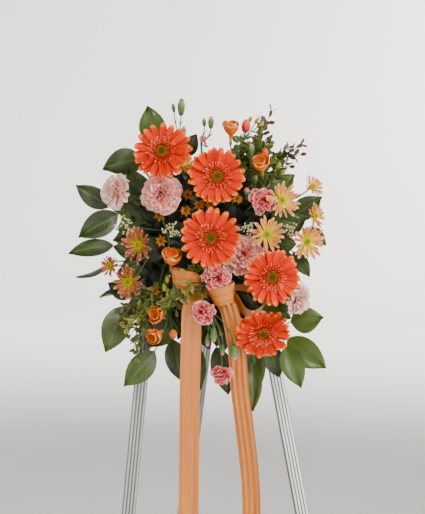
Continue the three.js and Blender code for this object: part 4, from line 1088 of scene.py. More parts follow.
class Heads:
    """Builds each kind of flower head round its own +Z, with its foot at the stalk."""

    def __init__(self, grower: Grower) -> None:
        """Keeps what runs the trees."""
        self.grower = grower

    def rings(self, shape: Shape, finish: Finish, rings: Sequence[Ring], seed: int) -> None:
        """Adds rings of petals to a head."""
        for k, ring in enumerate(rings):
            shape.extend(ring.shape(self.grower, finish, seed * 17 + k))

    def gerbera(self, radius: float, seed: int) -> Shape:
        """A gerbera: two rings of rays, a fringe of short florets, and a packed eye.

        Args:
            radius: of the head.
            seed: of what is random in it.

        Returns:
            The head.
        """
        s = radius / 53
        ray = Blade(45.5 * s, 13 * s, RAY, 7, curl=0.03, cup=0.1, groove=0.5, ruffle=0.5, waves=2, twist=0.3,
                    sway=0.05)
        second = replace(ray, length=43.5 * s, width=12 * s, curl=0.05, cup=0.12, twist=0.4, sway=0.06)
        fringe, short, tiny = (Blade(length * s, width * s, STRAP, 3, curl=curl, twist=1.2, sway=0.2)
                               for length, width, curl in ((15, 2.5, 0.25), (11, 2.3, 0.3), (7, 2, 0.35)))
        shape = Shape().turned(
            [(7 * s, -6), (10 * s, -2), (10.5 * s, 3), (7 * s, 5)], Finish.GERBERA_EYE, 16, 0.4)
        self.rings(shape, Finish.GERBERA_RAY, [
            Ring(20, ray, 2, 7.5 * s, -1.4, turn_spread=0.2, size_spread=0.05),
            Ring(18, second, 7, 7.5 * s, 0.6, turn_spread=0.22, size_spread=0.07)], seed)
        self.rings(shape, Finish.GERBERA_FRINGE, [
            Ring(44, fringe, 16, 11.5 * s, 3.4, tilt_spread=12, turn_spread=0.4, size_spread=0.2),
            Ring(42, short, 34, 11 * s, 3.8, tilt_spread=14, turn_spread=0.4, size_spread=0.2),
            Ring(36, tiny, 58, 10.4 * s, 4.0, tilt_spread=14, turn_spread=0.4)], seed + 5)
        return shape.extend(eye_disc(self.grower, Finish.GERBERA_EYE, 120, 9.4 * s, 2.4, 4.4, 0.95))

    def carnation(self, radius: float, seed: int, finish: Finish = Finish.CARNATION) -> Shape:
        """A standard carnation: rings of frilled, toothed petals, steeper towards the middle.

        Args:
            radius: of the head.
            seed: of what is random in it.
            finish: the petals' finish.

        Returns:
            The head.
        """
        s = radius / 38
        rows = [(8, 36, 33, 2, 0), (8, 34, 31, 13, 1.5), (8, 31, 28, 26, 3), (7, 28, 26, 40, 4),
                (7, 26, 23, 54, 4.5), (6, 23, 20, 67, 5), (5, 20, 16, 80, 5)]
        rings = [
            Ring(count, Blade(length * s, width * s, FAN, 19, curl=-0.06, ruffle=3.0 * s, waves=4.2,
                              frill=1.3 * s, blunt=0.16, teeth=1.3 * s, twist=0.5, sway=0.08, thickness=0.4),
                 tilt, 2.5 * s, height * s, tilt_spread=11, turn_spread=0.5, size_spread=0.12, variants=6)
            for count, length, width, tilt, height in rows]
        shape = Shape()
        self.rings(shape, finish, rings, seed)
        return shape

    def mini(self, radius: float, seed: int) -> Shape:
        """A small carnation on its own calyx.

        Args:
            radius: of the head.
            seed: of what is random in it.

        Returns:
            The head.
        """
        s = radius / 25
        shape = Shape()
        if radius > 15:
            rows = [(7, 24, 21, 0, 0), (7, 22, 19, 16, 1), (6, 20, 17, 34, 2), (5, 17.5, 14, 54, 3),
                    (4, 15, 11, 74, 3)]
        else:  # one that has only begun to open
            rows = [(5, 20, 20, 52, 2), (5, 20, 17, 66, 3), (4, 19, 13, 80, 3)]
        rings = [
            Ring(count, Blade(length * s, width * s, FAN, 15, curl=-0.08, ruffle=2.6 * s, waves=3.6,
                              frill=1.0 * s, blunt=0.16, teeth=1.3 * s, twist=0.5, sway=0.1, thickness=0.4),
                 tilt, 2 * s, height * s, tilt_spread=11, turn_spread=0.5, size_spread=0.12)
            for count, length, width, tilt, height in rows]
        self.rings(shape, Finish.MINI, rings, seed)
        tube = [(2.2, -17 * s), (3.6 * s, -16 * s), (4.6 * s, -11 * s), (4.8 * s, -6 * s),
                (5.2 * s, -1.5 * s), (3 * s, 1)]
        return shape.extend(Shape().turned(tube, Finish.CALYX, 10))

    def mum(self, radius: float, seed: int, finish: Finish = Finish.MUM) -> Shape:
        """A daisy chrysanthemum: strap petals round a green and yellow eye.

        Args:
            radius: of the head.
            seed: of what is random in it.
            finish: the petals' finish.

        Returns:
            The head.
        """
        blade = Blade(
            0.82 * radius, 0.2 * radius, STRAP, curl=0.1, cup=0.16, groove=0.3, twist=0.7, sway=0.12)
        inner = replace(blade, length=0.66 * radius, width=0.17 * radius, curl=0.16)
        shape = Shape().turned(
            [(0.14 * radius, -5), (0.22 * radius, -2.5), (0.24 * radius, 1), (0.16 * radius, 3)],
            Finish.CALYX, 12, 0.3)
        self.rings(shape, finish, [
            Ring(17, blade, 13, 0.19 * radius, tilt_spread=10, turn_spread=0.4, size_spread=0.13),
            Ring(14, inner, 29, 0.18 * radius, 1.0, tilt_spread=11, turn_spread=0.4, size_spread=0.14)], seed)
        return shape.extend(
            eye_disc(self.grower, Finish.MUM_EYE, 60, 0.24 * radius, 2.6, 2.4, 0.034 * radius))

    def deep_mum(self, radius: float, seed: int) -> Shape:
        """A redder daisy chrysanthemum, darkened all over with painted shade."""
        return self.mum(radius, seed, Finish.SHADED_RED_MUM)

    def button(self, radius: float, seed: int) -> Shape:
        """A small button chrysanthemum.

        Args:
            radius: of the head.
            seed: of what is random in it.

        Returns:
            The head.
        """
        blade = Blade(0.8 * radius, 0.46 * radius, STAR, curl=0.2, cup=0.2)
        shape = Shape().turned(
            [(2, -3), (0.3 * radius, -1), (0.34 * radius, 1.2), (0.2 * radius, 2.4)], Finish.CALYX, 10)
        self.rings(shape, Finish.BUTTON, [
            Ring(7, blade, 10, 0.24 * radius, tilt_spread=10),
            Ring(6, blade, 38, 0.2 * radius, 0.6, tilt_spread=12)], seed)
        return shape.extend(
            eye_disc(self.grower, Finish.BUTTON_EYE, 34, 0.3 * radius, 2.2, 2.2, 0.06 * radius))

    def freesia(self, radius: float, seed: int) -> Shape:
        """A freesia's trumpet: a narrow tube that opens to six broad petals.

        Args:
            radius: of its mouth.
            seed: of what is random in it.

        Returns:
            The head.
        """
        outer = Blade(1.36 * radius, 1.36 * radius, ROUND, 11, curl=0.1, arch=-0.08, cup=0.34, ruffle=0.8,
                      waves=3, frill=0.3, thickness=0.7)
        inner = replace(outer, length=1.28 * radius, width=1.16 * radius, curl=0.14, arch=-0.06, cup=0.38)
        tube = [(1.8, -0.9 * radius), (2.4, -0.6 * radius), (3.4, -0.2 * radius), (5.0, 0.1 * radius),
                (4.0, 0.3 * radius)]
        shape = Shape().turned(tube, Finish.FREESIA_BUD, 12, 0.2)
        shape.turned([(2.2, -0.95 * radius), (3.0, -0.8 * radius), (2.9, -0.6 * radius),
                      (1.6, -0.5 * radius)], Finish.CALYX, 10)
        self.rings(shape, Finish.FREESIA, [
            Ring(3, outer, 55, 3.0, 0.5, turn_spread=0.1, variants=3),
            Ring(3, inner, 64, 2.0, 1, turn_spread=0.1, variants=3)], seed)
        return shape

    def bud(self, radius: float, length: float, tip: Finish) -> Shape:
        """A closed bud in its calyx, with the petals' end showing.

        Args:
            radius: at its widest.
            length: from foot to tip.
            tip: the finish of what shows at its end.

        Returns:
            The bud.
        """
        calyx = [(0.35, 0), (0.56, 0.03), (0.74, 0.16), (0.92, 0.36), (1, 0.56), (0.9, 0.72), (0.56, 0.84)]
        point = [(0.3, 0.66), (0.66, 0.76), (0.62, 0.88), (0.38, 0.97), (0.1, 1)]
        if tip in (Finish.FREESIA_BUD, Finish.RED_BUD, Finish.LIME_BUD):
            calyx = calyx[:3] + [(0.7, 0.2)]
            point = [(0.5, 0.08), (0.86, 0.2), (1, 0.45), (0.86, 0.72), (0.5, 0.9), (0.1, 1)]
        shape = Shape().turned(
            [(r * radius, z * length) for r, z in calyx], Finish.CALYX, 12, 0.5, flutes=0.06)
        return shape.turned([(r * radius, z * length) for r, z in point], tip, 12, 0.6, flutes=0.12)


GERBERA_CALYX = ((3.4, -19), (6.5, -15.5), (10.5, -11), (12.4, -8.4), (11.6, -6.4))
CARNATION_CALYX = ((2.6, -32), (4.8, -30), (6.6, -24), (7.9, -16), (8.0, -9), (8.6, -5.4))
GERBERAS = (
    Bloom((-70, 190, 0), (-8, 22), 3), Bloom((31, 144, 8), (5, 4)), Bloom((20, 30, 22), (0, 0), 3),
    Bloom((133, -43, 12), (8, -4)), Bloom((116, -146, 4), (4, -28)),
)
# The two heads turned aside are marked pale: their petals are painted lighter, as painted light.
CARNATIONS = (Bloom((-71, 111, -14), (-6, 4)), Bloom((-155, 116, -34), (-52, 12), -6, kind="pale"),
              Bloom((79, -2, -30), (10, 10)), Bloom((178, -83, -34), (64, -8), -5, kind="pale"))


@dataclass(frozen=True)
class LargeBlooms:
    """Big heads, each on a stem of its own that ends in its calyx."""

    name: str
    slot: str
    rows: tuple[Bloom, ...]
    radius: float
    calyx: tuple[tuple[float, float], ...]
    stem: float
    bracts: int

    def build(self, heads: Heads) -> None:
        """Makes every head and stem.

        Args:
            heads: what builds the heads.
        """
        for i, row in enumerate(self.rows):
            # heads marked pale get the copy of the petal that is painted lighter, as painted light
            finish = (Finish.LIT_CARNATION,) if row.kind == "pale" else ()
            head = getattr(heads, self.name)(self.radius + row.size, 11 + i, *finish)
            settle(Shape().extend(head, row.matrix(i)), f"{self.name}_head_{i + 1}", self.slot,
                   [f"{self.name}_{i + 1}"])
            matrix, direction = row.matrix(), looking(row.face)
            end = matrix @ Vector((0, 0, self.calyx[0][1]))
            bend = end - direction * (0.14 * (end - FOCUS).length)
            start, out = way_out(bend)
            stem = Shape().tube(
                [start, *bent(out, bend, end, 12), end + direction * 2], self.stem, Finish.STEM, 10)
            stem.extend(Shape().turned(self.calyx, Finish.CALYX, 16), matrix)
            leaf = Blade(11, 4.2, OVATE, curl=0.12, cup=0.12, thickness=0.6)
            bracts = Ring(self.bracts, leaf, 52, self.calyx[1][0] - 0.6, self.calyx[1][1], variants=3)
            stem.extend(bracts.shape(heads.grower, Finish.CALYX, 3 + i), matrix)
            settle(stem, f"{self.name}_stalk_{i + 1}", "flower_stems", [f"{self.name}_stem_{i + 1}"])


@dataclass(frozen=True)
class Spray:
    """A stem that forks to several heads on stalks of their own."""

    fork: Place
    heads: tuple[Bloom, ...]


def bud(place: Place, face: tuple[float, float], size: float, length: float, kind: str = "bud") -> Bloom:
    """A row of the layout for a closed bud."""
    return Bloom(place, face, size, length, kind)


MINI_SPRAYS = (
    Spray((-40, 215, -70), (
        bud((-35, 256, -50), (10, 80), 7.4, 33, "green_bud"),
        bud((-48, 262, -58), (-30, 76), 4, 18, "green_bud"), bud((-31, 218, -38), (15, 70), 5, 20))),
    Spray((2, 205, -86), (
        bud((20, 232, -40), (10, 80), 6, 24), bud((8, 236, -52), (-10, 78), 4.4, 17),
        Bloom((8, 209, -34), (-20, 40), 12))),
    Spray((102, 96, -66), (
        Bloom((115, 98, -28), (12, 10), 25), bud((88, 106, -40), (-12, 50), 6.5, 22),
        bud((100, 130, -50), (20, 60), 5, 20), bud((94, 180, -52), (10, 80), 6.5, 27))),
    Spray((36, -30, -50), (Bloom((31, -42, 18), (-6, 46), 26),)),
    Spray((16, -101, -24), (
        Bloom((6, -107, 14), (-26, -6), 23), bud((25, -136, -8), (0, -78), 7, 28),
        bud((15, -148, -14), (-20, -80), 5.5, 24), Bloom((40, -222, -12), (-6, -46), 22),
        bud((62, -166, -2), (12, -80), 8, 32), bud((42, -168, -10), (-10, -80), 5, 20))),
)
MUM_SPRAYS = (
    Spray((140, 84, -76), (
        Bloom((150, 99, -34), (34, 12), 36), Bloom((208, 124, -58), (46, 32), 25),
        Bloom((212, 70, -62), (48, 6), 24))),
    Spray((130, 30, -66), (Bloom((123, 36, -18), (16, 4), 34), Bloom((197, 23, -36), (28, -2), 35))),
    # These heads are redder, and darkened with painted shade.
    Spray((-96, -4, -70), (
        Bloom((-113, 17, -26), (-32, 0), 34, kind="deep_mum"),
        Bloom((-165, -22, -52), (-36, 10), 21, kind="deep_mum"),
        Bloom((-131, -51, -38), (-32, -6), 33, kind="deep_mum"))),
    Spray((-14, 140, -70), (Bloom((-29, 162, -34), (-20, 52), 26),)),
)
BUTTON_SPRAYS = (
    Spray((4, 88, -56), (
        Bloom((-22, 109, -26), (-10, 10), 12), Bloom((-26, 80, -22), (-8, 4), 12),
        Bloom((-2, 91, -14), (0, 0), 11), Bloom((19, 93, -24), (8, 0), 11),
        Bloom((68, 102, -34), (14, 6), 12))),
    Spray((-56, 20, -56), (
        Bloom((-74, 72, -34), (-10, 6), 13), Bloom((-72, 24, -20), (-10, 0), 12),
        Bloom((-82, -67, -36), (-14, -10), 12))),
)
FREESIA_SPRAYS = (
    Spray((62, 184, -52), (
        Bloom((57, 219, -28), (4, 70), 20), bud((84, 225, -34), (10, 66), 9.5, 27, "red_bud"),
        bud((92, 244, -44), (20, 60), 4, 13, "lime_bud"), bud((102, 242, -44), (50, 50), 4, 13, "lime_bud"),
        bud((108, 236, -44), (70, 30), 3.6, 12, "lime_bud"))),
    Spray((108, 148, -50), (
        Bloom((114, 156, -22), (-10, 44), 21), bud((120, 178, -38), (0, 70), 7, 20, "red_bud"),
        bud((140, 158, -40), (50, 40), 4.5, 16, "lime_bud"),
        bud((148, 150, -44), (70, 20), 4, 14, "lime_bud"))),
    Spray((-48, -32, -44), (
        Bloom((-53, -19, -8), (8, 50), 23), bud((-60, -38, -20), (-10, -70), 4.6, 17, "lime_bud"),
        bud((-66, -54, -22), (-10, -78), 4.4, 16, "lime_bud"),
        bud((-60, -68, -22), (10, -70), 4.2, 15, "lime_bud"))),
    Spray((-60, -110, -44), (
        Bloom((-72, -116, -18), (-30, 16), 19), Bloom((-76, -146, -20), (-30, -14), 19),
        bud((-50, -142, -22), (4, -30), 8, 22), bud((-34, -156, -32), (20, -50), 5, 15, "lime_bud"))),
)
HEAD_FOOT = {
    "mini": lambda r: -17 * r / 25, "mum": lambda r: -5.0, "deep_mum": lambda r: -5.0,
    "button": lambda r: -3.0, "freesia": lambda r: -0.9 * r}
BUD_TIPS = {"green_bud": Finish.CALYX, "red_bud": Finish.RED_BUD, "lime_bud": Finish.LIME_BUD}


@dataclass(frozen=True)
class Sprays:
    """Forked sprays of one kind of flower."""

    name: str  # of the CAD nodes, without their number
    kind: str  # of the heads
    slot: str
    rows: tuple[Spray, ...]
    bud_tip: Finish = Finish.BUD_TIP

    def stalk(self, fork: Vector, bloom: Bloom, kind: str, matrix: Matrix) -> Shape:
        """A stalk from the fork that arrives behind a head, with a node half way.

        Args:
            fork: where it starts.
            bloom: the head's row.
            kind: of the head.
            matrix: the head's placement.

        Returns:
            The stalk.
        """
        direction = looking(bloom.face)
        drop = 0.0 if kind.endswith("bud") else HEAD_FOOT[kind](bloom.size)
        foot = matrix @ Vector((0, 0, drop + 1))
        bend = foot - direction * (0.35 * (foot - fork).length)
        route = bent(fork, bend, foot, 9)
        thick = 1.0 if kind.endswith("bud") else 1.3
        shape = Shape().tube(route, [thick * (1.5 if i == 4 else 1) for i in range(9)], Finish.STEM, 7)
        if self.kind in ("mini", "mum"):
            middle, ahead = route[4], (route[5] - route[4]).normalized()
            leaf = Blade(13, 3.2, OVATE, 3, curl=0.25, cup=0.1)
            for k in range(2):
                turn = Matrix.Rotation(pi * k, 4, "Z") @ Matrix.Rotation(radians(-58), 4, "Y")
                shape.extend(leaf.shape(Finish.CALYX, k), standing(middle, ahead) @ turn)
        return shape

    def build(self, heads: Heads) -> None:
        """Makes every spray.

        Args:
            heads: what builds the heads.
        """
        for i, row in enumerate(self.rows):
            fork = seen(row.fork)
            start, _ = way_out(fork)
            past = fork + (fork - FOCUS).normalized() * 2
            shape = Shape().tube([start.lerp(past, k / 5) for k in range(6)], 1.9, Finish.STEM, 8)
            for k, bloom in enumerate(row.heads):
                kind = bloom.kind or self.kind
                roll = seen(bloom.place).x + seen(bloom.place).z
                matrix = bloom.matrix(roll)
                shape.extend(self.stalk(fork, bloom, kind, matrix))
                if kind.endswith("bud"):
                    tip = BUD_TIPS.get(kind, self.bud_tip)
                    shape.extend(heads.bud(bloom.size, bloom.length, tip), matrix)
                else:
                    shape.extend(getattr(heads, kind)(bloom.size, 101 + 10 * i + k), matrix)
            settle(shape, f"{self.name}_{i + 1}_flowers", self.slot, [f"{self.name}_{i + 1}"])


@dataclass(frozen=True)
class LeafyStem:
    """One stem of small paired leaves, through three places of the layout."""

    path: tuple[Place, ...]
    pairs: int
    length: float
    width: float
    finish: Finish = Finish.BOXWOOD


@dataclass(frozen=True)
class Boxwood:
    """The stems of boxwood, each with side twigs."""

    rows: tuple[tuple[LeafyStem, ...], ...] = (
        (LeafyStem(((84, 170, -84), (106, 200, -78), (132, 264, -66)), 10, 22, 12.5, Finish.RED_BOXWOOD),
         LeafyStem(((66, 140, -84), (76, 178, -74), (82, 212, -64)), 7, 24, 14),
         LeafyStem(((96, 136, -84), (104, 176, -70), (108, 220, -60)), 8, 24, 14),
         LeafyStem(((104, 130, -84), (122, 164, -72), (126, 204, -62)), 7, 22, 13)),
        (LeafyStem(((126, 164, -90), (150, 178, -84), (186, 202, -72)), 8, 20, 11, Finish.RED_BOXWOOD),
         LeafyStem(((110, 120, -80), (132, 150, -66), (160, 164, -56)), 5, 21, 12)),
        (LeafyStem(((-100, -110, -62), (-112, -140, -56), (-116, -190, -48)), 7, 19, 11),
         LeafyStem(((-84, -84, -60), (-112, -116, -48), (-134, -136, -40)), 6, 19, 11, Finish.VARIEGATED),
         LeafyStem(((-90, -70, -62), (-134, -96, -54), (-160, -138, -46)), 6, 15, 7, Finish.RED_BOXWOOD)),
        (LeafyStem(((-34, -62, -54), (-52, -84, -24), (-66, -100, -14)), 6, 20, 10, Finish.VARIEGATED),
         LeafyStem(((-60, -56, -56), (-86, -66, -36), (-110, -84, -28)), 6, 18, 9),
         LeafyStem(((-6, -26, -50), (-8, -40, 22), (-36, -80, 22)), 7, 19, 10, Finish.VARIEGATED),
         LeafyStem(((4, -30, -50), (8, -50, 16), (4, -88, 14)), 6, 18, 9.5),
         LeafyStem(((-20, -60, -30), (-40, -74, 14), (-58, -88, 16)), 5, 18, 9.5)),
    )

    def twig(self, grower: Grower, row: LeafyStem, route: Sequence[Vector], pairs: int, seed: int,
             size: float) -> Shape:
        """A twig with its leaves.

        Args:
            grower: what runs the trees.
            row: the stem that it belongs to.
            route: its line.
            pairs: how many pairs of leaves.
            seed: of what is random in it.
            size: of the leaves, as a share of the row's.

        Returns:
            The twig.
        """
        shape = Shape().tube(
            route, [1.5 - 0.8 * i / (len(route) - 1) for i in range(len(route))], Finish.TWIG, 6)
        blade = Blade(row.length * size, row.width * size, SMALL_LEAF, curl=0.14, fold=0.12, thickness=0.6)
        leaves = grower.grow(
            "path", row.finish, [blade.shape(row.finish, seed + k) for k in range(3)], route, Count=pairs,
            Tilt=radians(42), Tilt_spread=0.35, Turn=radians(90), First_size=1.15, Last_size=0.62, Seed=seed)
        return shape.extend(leaves)

    def build(self, heads: Heads) -> None:
        """Makes every stem.

        Args:
            heads: what holds the grower.
        """
        for i, stems in enumerate(self.rows):
            shape = Shape()
            for j, row in enumerate(stems):
                self.stem(shape, heads.grower, row, 40 + 40 * i + 8 * j)
            settle(shape, f"boxwood_stem_{i + 1}", "boxwood_leaves", [f"boxwood_{i + 1}"])

    def stem(self, shape: Shape, grower: Grower, row: LeafyStem, seed: int) -> None:
        """Adds a stem with its side twigs.

        Args:
            shape: the piece that it belongs to.
            grower: what runs the trees.
            row: the stem.
            seed: of what is random in it.
        """
        start, by, end = (seen(p) for p in row.path)
        near = start.lerp(FOCUS, 0.05)
        inside, out = way_out(near)
        shape.tube([inside, out, near, start], 1.6, Finish.TWIG, 7)
        main = bent(start, by, end, 12)
        shape.extend(self.twig(grower, row, main, row.pairs, seed, 1.0))
        for k in range(4):
            foot, ahead = main[1 + 2 * k], (main[2 + 2 * k] - main[1 + 2 * k]).normalized()
            side = standing(foot, ahead) @ Vector((cos(2.2 * k + seed), sin(2.2 * k + seed), 0)) - foot
            reach = row.length * (1.15 - 0.12 * k)
            tip = foot + ahead * reach * 1.25 + side * reach
            green = k < 2 and row.finish is Finish.RED_BOXWOOD  # only the top of a reddish stem is red
            leaves = replace(row, finish=Finish.BOXWOOD) if green else row
            shape.extend(
                self.twig(grower, leaves, bent(foot, foot + side * 8, tip, 7), 3, seed + k + 1, 0.85))


@dataclass(frozen=True)
class Bunch:
    """A bunch of small buds: its place, how many shoots it has and how wide they spread."""

    place: Place
    count: int
    spread: float


@dataclass(frozen=True)
class WhiteBuds:
    """Bunches of small white buds on fine stalks."""

    radius: float = 1.75
    rows: tuple[tuple[Place, tuple[Bunch, ...]], ...] = (
        ((-76, 44, -74), (Bunch((-138, 51, -40), 7, 18), Bunch((-53, 46, -16), 6, 15))),
        ((96, 40, -80), (Bunch((90, 48, -24), 6, 15), Bunch((166, 44, -50), 6, 15))),
        ((33, -9, -58), (Bunch((45, -22, -10), 4, 9),)),
    )

    def shoot(self, tip: Vector, direction: Vector, seed: int) -> Shape:
        """A cluster of buds at the end of a shoot.

        Args:
            tip: where it is.
            direction: where it looks.
            seed: of what is random in it.

        Returns:
            The cluster.
        """
        rng = random.Random(seed)
        bud_line = [(0.3, -1.0), (0.8, -0.7), (1.0, 0.1), (0.7, 0.9), (0.2, 1.25)]
        shape = Shape()
        foot = tip - direction * 6
        for k in range(8):
            away = Vector((rng.uniform(-1, 1), rng.uniform(-0.6, 0.6), rng.uniform(-1, 1))) * 4.6
            end = tip + away + direction * rng.uniform(-2.5, 2.5)
            shape.tube([foot, foot.lerp(end, 0.6) + away * 0.1, end], 0.4, Finish.STEM, 4)
            profile = [(r * self.radius, z * self.radius) for r, z in bud_line]
            shape.extend(Shape().turned(profile, Finish.WHITE_BUD, 7, rng.random()),
                         standing(end, (end - foot).normalized()))
        return shape

    def build(self) -> None:
        """Makes every bunch."""
        for i, (place, bunches) in enumerate(self.rows):
            end = seen(place)
            start, _ = way_out(end)
            shape = Shape().tube([start, start.lerp(end, 0.5), end], 1.7, Finish.STEM, 8)
            for j, bunch in enumerate(bunches):
                centre = seen(bunch.place)
                shape.tube(
                    [end, end.lerp(centre, 0.5), end.lerp(centre, 0.88)], [1.3, 1.2, 0.9], Finish.STEM, 7)
                for k in range(bunch.count):
                    turn, reach = k * 2.4, bunch.spread * sqrt((k + 0.3) / bunch.count)
                    tip = centre + Vector((cos(turn) * reach, 4 * sin(3 * k), sin(turn) * reach))
                    foot = end.lerp(centre, 0.86 - 0.3 * k / bunch.count)
                    direction = (tip - foot).normalized()
                    shape.tube([foot, foot.lerp(tip, 0.5), tip - direction * 6], 0.6, Finish.STEM, 5)
                    shape.extend(self.shoot(tip, direction, 200 + 40 * i + 10 * j + k))
            settle(shape, f"white_bud_bunch_{i + 1}", "white_buds", [f"white_berries_{i + 1}"])


@dataclass(frozen=True)
class LeafRow:
    """A large leaf: from its foot to its tip, its width, where it leaves the stem, and its roll."""

    base: Place
    tip: Place
    width: float
    leaves: float = 0.98
    roll: float = 0.0
    shade: float = 0.2


def broad_leaf(stalk_from: Vector, row: LeafRow, finish: Finish, seed: int, shade: float) -> Shape:
    """A leaf on its stalk: an arched blade, folded up along its midrib and wavy at its edge.

    Args:
        stalk_from: where its stalk starts.
        row: its row of the layout.
        finish: its finish.
        seed: of what is random in it.
        shade: its shade.

    Returns:
        The leaf.
    """
    foot, end = seen(row.base), seen(row.tip)
    x = (end - foot).normalized()
    z = Vector((0, -1, 0)) + x * x.y
    z = Matrix.Rotation(radians(row.roll), 3, x) @ z.normalized()
    matrix = Matrix((x, z.cross(x), z)).transposed().to_4x4()
    matrix.translation = foot
    length = (end - foot).length
    blade = Blade(length, row.width, LEAF, 11, arch=0.08, fold=0.08, ruffle=0.055 * row.width, waves=3.4,
                  twist=0.3, sway=0.05, thickness=0.7)
    shape = Shape().tube(bent(stalk_from, foot - x * 8, foot + x * 3, 7), 1.2, Finish.STEM, 7)
    return shape.extend(blade.shape(finish, seed, shade), matrix)


@dataclass(frozen=True)
class Salal:
    """The branches of large glossy leaves: each one's end, and its leaves."""

    rows: tuple[tuple[Place, tuple[LeafRow, ...]], ...] = (
        ((-112, 165, -106), (
            LeafRow((-80, 204, -100), (-98, 274, -84), 52, shade=0.6),
            LeafRow((-106, 176, -100), (-181, 159, -80), 55, roll=10, shade=0.3),
            LeafRow((-30, 180, -104), (-6, 222, -96), 33, 0.75))),
        ((-140, 84, -104), (
            LeafRow((-96, 96, -88), (-136, 158, -64), 48, 0.7),
            LeafRow((-166, 88, -92), (-231, 126, -78), 41),
            LeafRow((-152, 74, -88), (-226, 32, -72), 50, 0.96))),
        ((-150, -14, -98), (
            LeafRow((-160, 16, -92), (-244, 2, -84), 35, 0.9, 16),
            LeafRow((-166, -16, -92), (-229, -44, -78), 26, 0.98, -60),
            LeafRow((-138, -70, -84), (-187, -80, -72), 26, 0.8, 60),
            LeafRow((-126, -80, -92), (-170, -52, -88), 36, 0.7))),
        ((-70, -150, -88), (
            LeafRow((-138, -96, -84), (-176, -181, -66), 55, 0.7, shade=0.6),
            LeafRow((-84, -180, -78), (-140, -246, -62), 50, shade=0.6),
            LeafRow((-52, -158, -76), (-32, -237, -60), 44, 0.94),
            LeafRow((-18, -160, -80), (2, -252, -66), 42, 0.82))),
        ((92, -190, -84), (
            LeafRow((30, -172, -76), (56, -259, -60), 44, 0.8),
            LeafRow((98, -200, -78), (97, -292, -62), 36, shade=0.6),
            LeafRow((128, -168, -94), (146, -228, -90), 41, 0.85))),
        ((158, -140, -92), (
            LeafRow((162, -156, -86), (232, -213, -70), 55, 0.96, shade=1.0),
            LeafRow((158, -170, -82), (187, -248, -64), 46, 0.9, shade=0.85),
            LeafRow((168, -126, -80), (228, -115, -60), 52, shade=0.95))),
        ((172, 60, -108), (
            LeafRow((172, 4, -96), (204, -42, -84), 30, 0.7), LeafRow((194, 46, -100), (235, 18, -86), 33),
            LeafRow((166, 66, -100), (226, 106, -98), 44, 0.9),
            LeafRow((130, 112, -106), (176, 146, -104), 41, 0.6, shade=0.6))),
    )

    def build(self) -> None:
        """Makes every branch."""
        for i, (place, leaves) in enumerate(self.rows):
            end = seen(place)
            start, _ = way_out(end)
            shape = Shape().tube(
                [start.lerp(end, k / 6) for k in range(7)], [2.2] * 6 + [1.4], Finish.TWIG, 8)
            for k, row in enumerate(leaves):
                stalk = FOCUS.lerp(end, row.leaves - 0.02)
                shape.extend(broad_leaf(stalk, row, Finish.SALAL, 300 + 10 * i + k, row.shade))
            settle(shape, f"salal_leaves_{i + 1}", "salal_leaves", [f"salal_branch_{i + 1}"])


@dataclass(frozen=True)
class InnerFoliage:
    """Leaves that fill the spray between its flowers, each on a stalk from the foam: all but the extra ones
    painted almost black, as painted shade.
    """

    count: int = 110
    ring: int = 34
    half_width: float = 150.0
    half_height: float = 178.0
    centre: tuple[float, float] = (8.0, 0.0)
    length: float = 60.0
    width: float = 32.0
    extra: tuple[LeafRow, ...] = tuple(LeafRow(*row) for row in (
        ((-89, 72, -92), (-141, 109, -84), 46), ((102, -168, -90), (100, -261, -84), 42),
        ((115, 72, -98), (185, 59, -90), 46), ((-46, -96, -86), (-118, -128, -80), 50),
        ((-40, -120, -84), (-96, -172, -76), 46), ((-60, 20, -84), (-124, -6, -78), 48),
        ((70, 120, -96), (108, 190, -92), 44), ((90, 100, -96), (152, 156, -92), 44),
        ((50, 130, -96), (78, 202, -92), 40), ((-88, 40, -94), (-162, 28, -88), 50),
        ((-80, -70, -90), (-140, -118, -84), 46), ((110, -80, -88), (170, -98, -84), 46),
        ((140, 40, -96), (196, 66, -92), 42), ((120, 0, -94), (184, -24, -90), 44),
        ((-104, 4, -94), (-160, 14, -90), 40), ((128, 22, -96), (178, 16, -92), 44),
        ((120, -96, -88), (168, -120, -84), 42), ((30, -120, -84), (46, -178, -78), 40),
        ((-96, 70, -94), (-154, 46, -88), 48), ((-98, 92, -96), (-160, 78, -90), 44),
        ((-90, -8, -94), (-150, -34, -90), 48), ((-98, -44, -92), (-160, -66, -86), 46)))

    def build(self) -> None:
        """Makes the leaves as one piece."""
        rng = random.Random(7)
        shape = Shape()
        rows = [(row, Finish.SALAL) for row in self.extra]
        for k in range(self.count):
            turn, reach = k * GOLDEN, sqrt((k + 0.5) / self.count)
            x = self.centre[0] + 0.94 * self.half_width * reach * cos(turn)
            z = self.centre[1] + 0.94 * self.half_height * reach * sin(turn)
            forward = -62 - 34 * reach + rng.uniform(-8, 8)
            heading = turn + rng.uniform(-0.9, 0.9)
            half = 0.5 * self.length * rng.uniform(0.75, 1.1) * (1 - 0.25 * reach)
            run, rise = cos(heading) * half, sin(heading) * half
            # the leaves that fill the inside, painted almost black as painted shade
            rows.append(
                (LeafRow((x - run, z - rise, forward - 8), (x + run, z + rise, forward + 10),
                         self.width * rng.uniform(0.8, 1.15), roll=rng.uniform(-35, 35)), Finish.SHADED_LEAF))
        # a ring of leaves at the back, also painted almost black as painted shade
        for k in range(self.ring):
            turn = 2 * pi * (k + rng.uniform(0.3, 0.7)) / self.ring
            wide, high = self.half_width * cos(turn), self.half_height * sin(turn)
            far = rng.uniform(0.88, 1.02)
            rows.append((LeafRow((self.centre[0] + 0.5 * wide, self.centre[1] + 0.5 * high, -102),
                                 (self.centre[0] + far * wide, self.centre[1] + far * high, -94),
                                 46 * rng.uniform(0.9, 1.1), roll=rng.uniform(-15, 15)), Finish.SHADED_LEAF))
        for k, (row, finish) in enumerate(rows):
            _, out = way_out(seen(row.base))
            shape.extend(broad_leaf(out.lerp(FOCUS, 0.3), row, finish, 500 + k, rng.random()))
        settle(shape, "inner_foliage", "salal_leaves")


